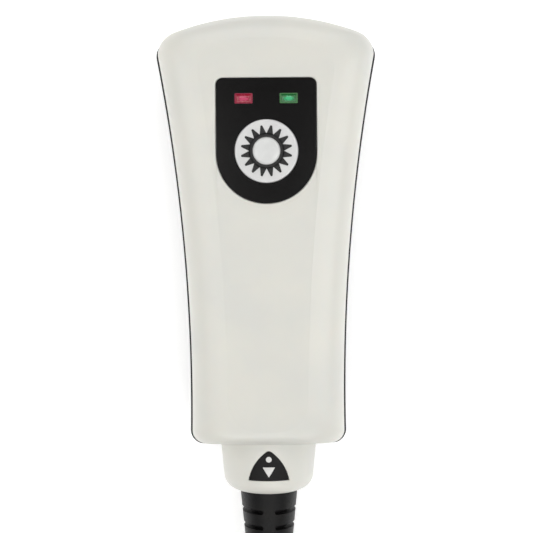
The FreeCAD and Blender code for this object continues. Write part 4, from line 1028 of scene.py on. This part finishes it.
def arch_outline(margin):
    """The latch's pointed arch, from its foot's right corner, anticlockwise."""
    lean = math.radians(10)
    low, big, tip = LATCH_LOW - margin, LATCH_SIDE + margin, LATCH_TIP + margin
    right = Vector((LATCH_HALF - LATCH_SIDE * math.cos(lean),
                    LATCH_LOW - LATCH_SIDE * math.sin(lean)))
    top = Vector((0, right.y + math.sqrt((big - tip) ** 2 - right.x**2)))
    join_r = right + (top - right).normalized() * big
    reach = math.sqrt(big**2 - (low - right.y) ** 2)
    corner = Vector((right.x + reach, low))
    half = arc_between(right, big, corner, join_r, ARCH_STEPS["flank"])
    half += arc_between(top, tip, join_r, Vector((0, top.y + tip)), ARCH_STEPS["tip"])
    half.append((0.0, top.y + tip))
    left = [(-x, y) for x, y in reversed(half[:-1])]
    count = ARCH_STEPS["foot"]
    foot = [(-corner.x + 2 * corner.x * k / count, low) for k in range(1, count)]
    return half + left + foot


def neck_radius(y):
    share = (NECK_FOOT - y) / (NECK_FOOT - NECK_SHOULDER)
    return NECK_RADII[0] + (NECK_RADII[1] - NECK_RADII[0]) * share


def on_neck(x, y, stand):
    """A point that stands off the neck's cone by the given height."""
    radius = neck_radius(y) + stand
    return (x, y, NECK_Z + math.sqrt(radius**2 - x**2))


def divided(outline, reach):
    """An outline whose long straight sides are cut into pieces no longer than reach."""
    fine = []
    for (x0, y0), (x1, y1) in zip(outline, outline[1:] + outline[:1], strict=True):
        count = max(1, math.ceil(math.hypot(x1 - x0, y1 - y0) / reach))
        fine += [(x0 + (x1 - x0) * k / count, y0 + (y1 - y0) * k / count) for k in range(count)]
    return fine


def cone_patch(name, outline, centre, stand, depth, edge):
    """A closed pad that follows the neck's cone, with rounded edges and a flat base."""
    def scaled(share, pull):
        ring = []
        for x, y in outline:
            away = Vector((x - centre[0], y - centre[1]))
            away *= share * max(0.0, 1 - pull / away.length)
            ring.append((centre[0] + away.x, centre[1] + away.y))
        return ring

    rings = [[(x, y, NECK_Z + depth) for x, y in scaled(1.0, 0.0)]]
    for angle in (0, 30, 60, 90):
        a = math.radians(angle)
        pull, drop = edge * (1 - math.cos(a)), edge * (1 - math.sin(a))
        rings.append([on_neck(x, y, stand - drop) for x, y in scaled(1.0, pull)])
    for share in (0.9, 0.75, 0.55, 0.35, 0.15, 0.03):
        rings.append([on_neck(x, y, stand) for x, y in scaled(share, edge)])
    return solid(name, rings)


def make_neck():
    wide, end = NECK_RADII
    mouth = BOOT_RADII[0] + 0.05
    lip = 0.12
    profile = [(mouth, NECK_END + 2.6), (mouth, NECK_END + lip), (mouth + lip, NECK_END)]
    for k in range(13):
        a = math.radians(7.5 * k)
        profile.append((end - NECK_ROUND + NECK_ROUND * math.sin(a),
                        NECK_SHOULDER - NECK_ROUND * math.cos(a)))
    profile += [(neck_radius(NECK_SHOULDER + k * 3.0), NECK_SHOULDER + k * 3.0) for k in (1, 2)]
    profile += [(wide, NECK_FOOT), (wide, -59.0), (12.55, -59.0), (12.55, -56.9), (13.95, -56.9),
                (13.95, -55.0), (10.8, -55.0), (10.8, NECK_END + 2.6)]
    collar = turned("neck_shell", profile, along_neck, 144)
    carve(collar, prism("latch_cut", arch_outline(0.1), NECK_Z, NECK_Z + 16.0))
    soften(collar, 0.14)
    settle(collar, "housing", "white_shell", "neck_collar")
    pad = cone_patch("latch_pad", arch_outline(-0.02), (0, LATCH_CENTRE), 0.3, 12.1, 0.22)
    settle(pad, "latch", "grained_black", "release_latch")
    dot = cone_patch("latch_dot", disc((0, -64.85), 0.83, 32), (0, -64.85), 0.33, 13.2, 0.04)
    corners = [(-1.8, -67.1), (0, -70.1), (1.8, -67.1)]
    sides = divided(rounded(corners, 0.12, 5), 0.3)
    pointer = cone_patch("latch_pointer", sides, (0, -68.1), 0.33, 12.9, 0.04)
    marks = join("latch_signs", dot, pointer)
    settle(marks, "latch", "white_inlay", "latch_marks")


def boot_radius(y):
    share = (NECK_END - y) / (NECK_END - BOOT_TIP)
    return BOOT_RADII[0] + (BOOT_RADII[1] - BOOT_RADII[0]) * share


def slot_depth(y, angle, radius):
    """How deep the boot is cut at a place: rows of slots with rounded ends on both sides."""
    row = round((SLOT_FIRST - y) / SLOT_PITCH)
    if not 0 <= row < SLOT_ROWS:
        return 0.0
    across = abs(y - (SLOT_FIRST - SLOT_PITCH * row))
    half = SLOT_WIDTH / 2
    from_spine = min(abs(angle), abs(math.pi - abs(angle))) * radius - SLOT_SPINE / 2
    inside = half - across
    if from_spine < half:
        inside = half - math.hypot(across, half - from_spine)
    deep = min(SLOT_DEPTH, SLOT_SHARE * (radius - CORD_RADIUS))
    return deep * min(1.0, max(0.0, inside / 0.12))


def make_boot():
    """The tapered strain relief with its rows of slots."""
    stations = [NECK_END + 1.5, NECK_END + 0.6]
    across_slot = (-0.70, -0.64, -0.58, -0.5, -0.3, 0.0, 0.3, 0.5, 0.58, 0.64, 0.70)
    y = NECK_END
    while y > SLOT_FIRST + 1.0:
        stations.append(y)
        y -= 0.8
    for row in range(SLOT_ROWS):
        middle = SLOT_FIRST - SLOT_PITCH * row
        stations += [middle - offset for offset in across_slot]
        if row < SLOT_ROWS - 1:
            stations += [middle - 0.70 - gap for gap in (0.8, 1.6, 2.4)]
    y = SLOT_FIRST - SLOT_PITCH * (SLOT_ROWS - 1) - 1.5
    while y > BOOT_TIP + 0.9:
        stations.append(y)
        y -= 0.8
    angles = [2 * math.pi * k / 240 for k in range(240)]
    rings = []
    for y in stations:
        radius = boot_radius(min(y, NECK_END))
        ring = []
        for a in angles:
            centred = math.atan2(math.sin(a), math.cos(a))
            depth = slot_depth(y, centred, radius)
            ring.append(along_neck(radius - depth, a, y))
        rings.append(ring)
    tip = boot_radius(BOOT_TIP)
    for radius, y in ((tip, BOOT_TIP + 0.7), (tip - 0.12, BOOT_TIP + 0.25), (tip - 0.45, BOOT_TIP),
                      (3.75, BOOT_TIP), (3.56, BOOT_TIP + 0.15), (3.56, NECK_END + 1.5)):
        rings.append([along_neck(radius, a, y) for a in angles])
    boot = solid("relief_boot", rings, wrap=True)
    return settle(boot, "housing", "grained_black", "strain_relief_boot")


# ---------------------------------------------------------------- far plug
def make_plug():
    """The far plug: ribbed grip, plated shell, insert and pins."""
    profile = [(3.56, 0.0), (4.2, 0.0), (4.5, 0.3), (5.0, 3.6), (5.0, 4.4), (4.75, 4.6),
               (4.85, 5.6), (5.25, 5.9), (5.5, 7.0), (5.35, 7.3), (5.45, 8.3), (5.8, 8.6),
               (6.2, 11.4), (6.5, 12.4), (6.62, 13.4), (6.62, 22.6), (6.4, 23.6), (6.1, 24.0),
               (0.4, 24.0), (0.4, 20.0), (3.56, 20.0)]
    grip = turned("plug_grip", profile, along_plug, 96)
    sizes = {"Count": 28, "Radius": 6.5 * MM, "Length": 7.2 * MM, "Thickness": 0.38 * MM}
    ribs = grow("plug_ribs", rib_tree(), [(0, 0, 0)], sizes)
    frame_turn = Matrix((PLUG_SIDE, Vector((0, 0, 1)), PLUG_AIM)).transposed().to_4x4()
    middle = PLUG_START + PLUG_AIM * 18.0
    ribs.data.transform(Matrix.Translation(middle * MM) @ frame_turn)
    grip = join("plug_grip", grip, ribs)
    settle(grip, "housing", "grained_black", "end_plug_grip")
    tube = [(5.82, 24.0), (6.1, 24.0), (6.5, 24.3), (6.5, 25.6), (6.3, 25.8), (6.3, 26.4),
            (6.5, 26.6), (6.5, 36.5), (6.3, 37.0), (6.0, 37.0), (5.8, 36.7), (5.8, 29.0),
            (5.82, 28.9)]
    shell = turned("plug_shell", tube, along_plug, 96)
    settle(shell, "housing", "nickel_shell", "end_plug_shell")
    insert = [(0.0, 24.02), (5.74, 24.02), (5.74, 28.8), (5.5, 29.0), (1.2, 29.0), (1.0, 28.6),
              (0.0, 28.6)]
    core = turned("plug_insert", insert, along_plug, 64)
    settle(core, "housing", "nylon_grey", "end_plug_insert")
    spots = [(3.4 * math.cos(a), 3.4 * math.sin(a), 0)
             for a in (math.radians(-90 + 45 * k) for k in range(5))]
    pins = grow("plug_pins", pin_tree(), spots, {"Radius": 0.6 * MM, "Length": 4.9 * MM})
    crisp(pins.data)
    # The pins stand on a half circle, at and below the plug's middle line.
    pin_turn = Matrix((Vector((0, 0, -1)), PLUG_SIDE, PLUG_AIM)).transposed().to_4x4()
    start = PLUG_START + PLUG_AIM * 31.45
    pins.data.transform(Matrix.Translation(start * MM) @ pin_turn)
    settle(pins, "housing", "gold_plate", "end_plug_pins")
    return grip, shell, core, pins


# ---------------------------------------------------------------- build
lead = make_lead()
tie = make_tie()
plug_pieces = make_plug()
make_front()
make_rear()
make_seal()
make_back_details()
make_panel()
make_window(-1, "red")
make_window(1, "green")
make_button()
make_neck()
make_boot()


# ---------------------------------------------------------------- floor, light and camera
def make_floor():
    mesh = bpy.data.meshes.new("floor")
    mesh.from_pydata(raise_outline(box(-3.0, -3.0, 3.0, 3.0), -0.0004), [], [(0, 1, 2, 3)])
    floor = in_scene("floor", mesh)
    material, tree, coords = new_material("white_paper_sweep")
    # Seamless white paper, lit until it is nearly shadowless; its fibres are drawn 2 mm across.
    fibres = add(tree, "ShaderNodeTexNoise", {"Vector": coords, "Scale": 1 / (2.0 * MM)})
    paper = add(tree, "ShaderNodeMix", {0: fibres.outputs["Fac"], 6: linear("#fbfbfb"),
                                        7: linear("#f8f8f8")}, data_type="RGBA")
    shader = add(tree, "ShaderNodeBsdfPrincipled", {
        "Base Color": paper.outputs[2], "Roughness": 0.9, "Emission Color": (1, 1, 1, 1),
        "Emission Strength": 0.4})
    add(tree, "ShaderNodeOutputMaterial", {"Surface": shader.outputs[0]})
    mesh.materials.append(material)


def soft_light(name, place, size, watts, tint=(1, 1, 1)):
    lamp = bpy.data.lights.new(name, "AREA")
    lamp.shape = "RECTANGLE"
    lamp.size, lamp.size_y = size
    lamp.energy = watts
    lamp.color = tint
    holder = in_scene(name, lamp)
    holder.location = place
    aim = Vector((0, -0.01, 0.03)) - Vector(place)
    holder.rotation_euler = aim.to_track_quat("-Z", "Y").to_euler()


make_floor()
# Softboxes all round and none overhead, so that the flat black panel mirrors a dim ceiling.
soft_light("right_softbox", (0.64, 0.0, 0.84), (0.42, 1.2), 4.5)
soft_light("left_softbox", (-0.62, 0.05, 0.85), (0.45, 1.2), 3.8, (1.0, 0.99, 0.97))
soft_light("head_softbox", (0.0, 0.72, 0.85), (1.2, 0.45), 3.7)
soft_light("foot_softbox", (0.0, -0.76, 0.85), (1.2, 0.45), 4.1, (1.0, 0.99, 0.97))

# A white room that is pale at eye level and dim overhead.
world = bpy.data.worlds.new("studio")
bpy.context.scene.world = world
world.use_nodes = True
backdrop = world.node_tree.nodes["Background"]
backdrop.inputs[0].default_value = (1, 1, 1, 1)
way = add(world.node_tree, "ShaderNodeTexCoord").outputs["Generated"]
height = add(world.node_tree, "ShaderNodeSeparateXYZ", {0: way}).outputs[2]
room = add(world.node_tree, "ShaderNodeMapRange", {"Value": height, "From Max": 0.5,
                                                   "To Min": 0.8, "To Max": 0.08})
world.node_tree.links.new(room.outputs[0], backdrop.inputs[1])
bpy.context.scene.view_settings.view_transform = "Standard"

SEEN_HALF = 78.6  # half the width in view at the seam's level, in millimetres
SEEN_FROM = 267.0  # from the camera down to the seam
camera_data = bpy.data.cameras.new("camera")
camera_data.sensor_width = 36.0
camera_data.lens = 18.0 / (SEEN_HALF / SEEN_FROM)
camera = in_scene("camera", camera_data)
camera.location = (-0.00024, -0.010, 0.287)
camera.rotation_euler = (0, 0, math.radians(-0.43))
bpy.context.scene.camera = camera
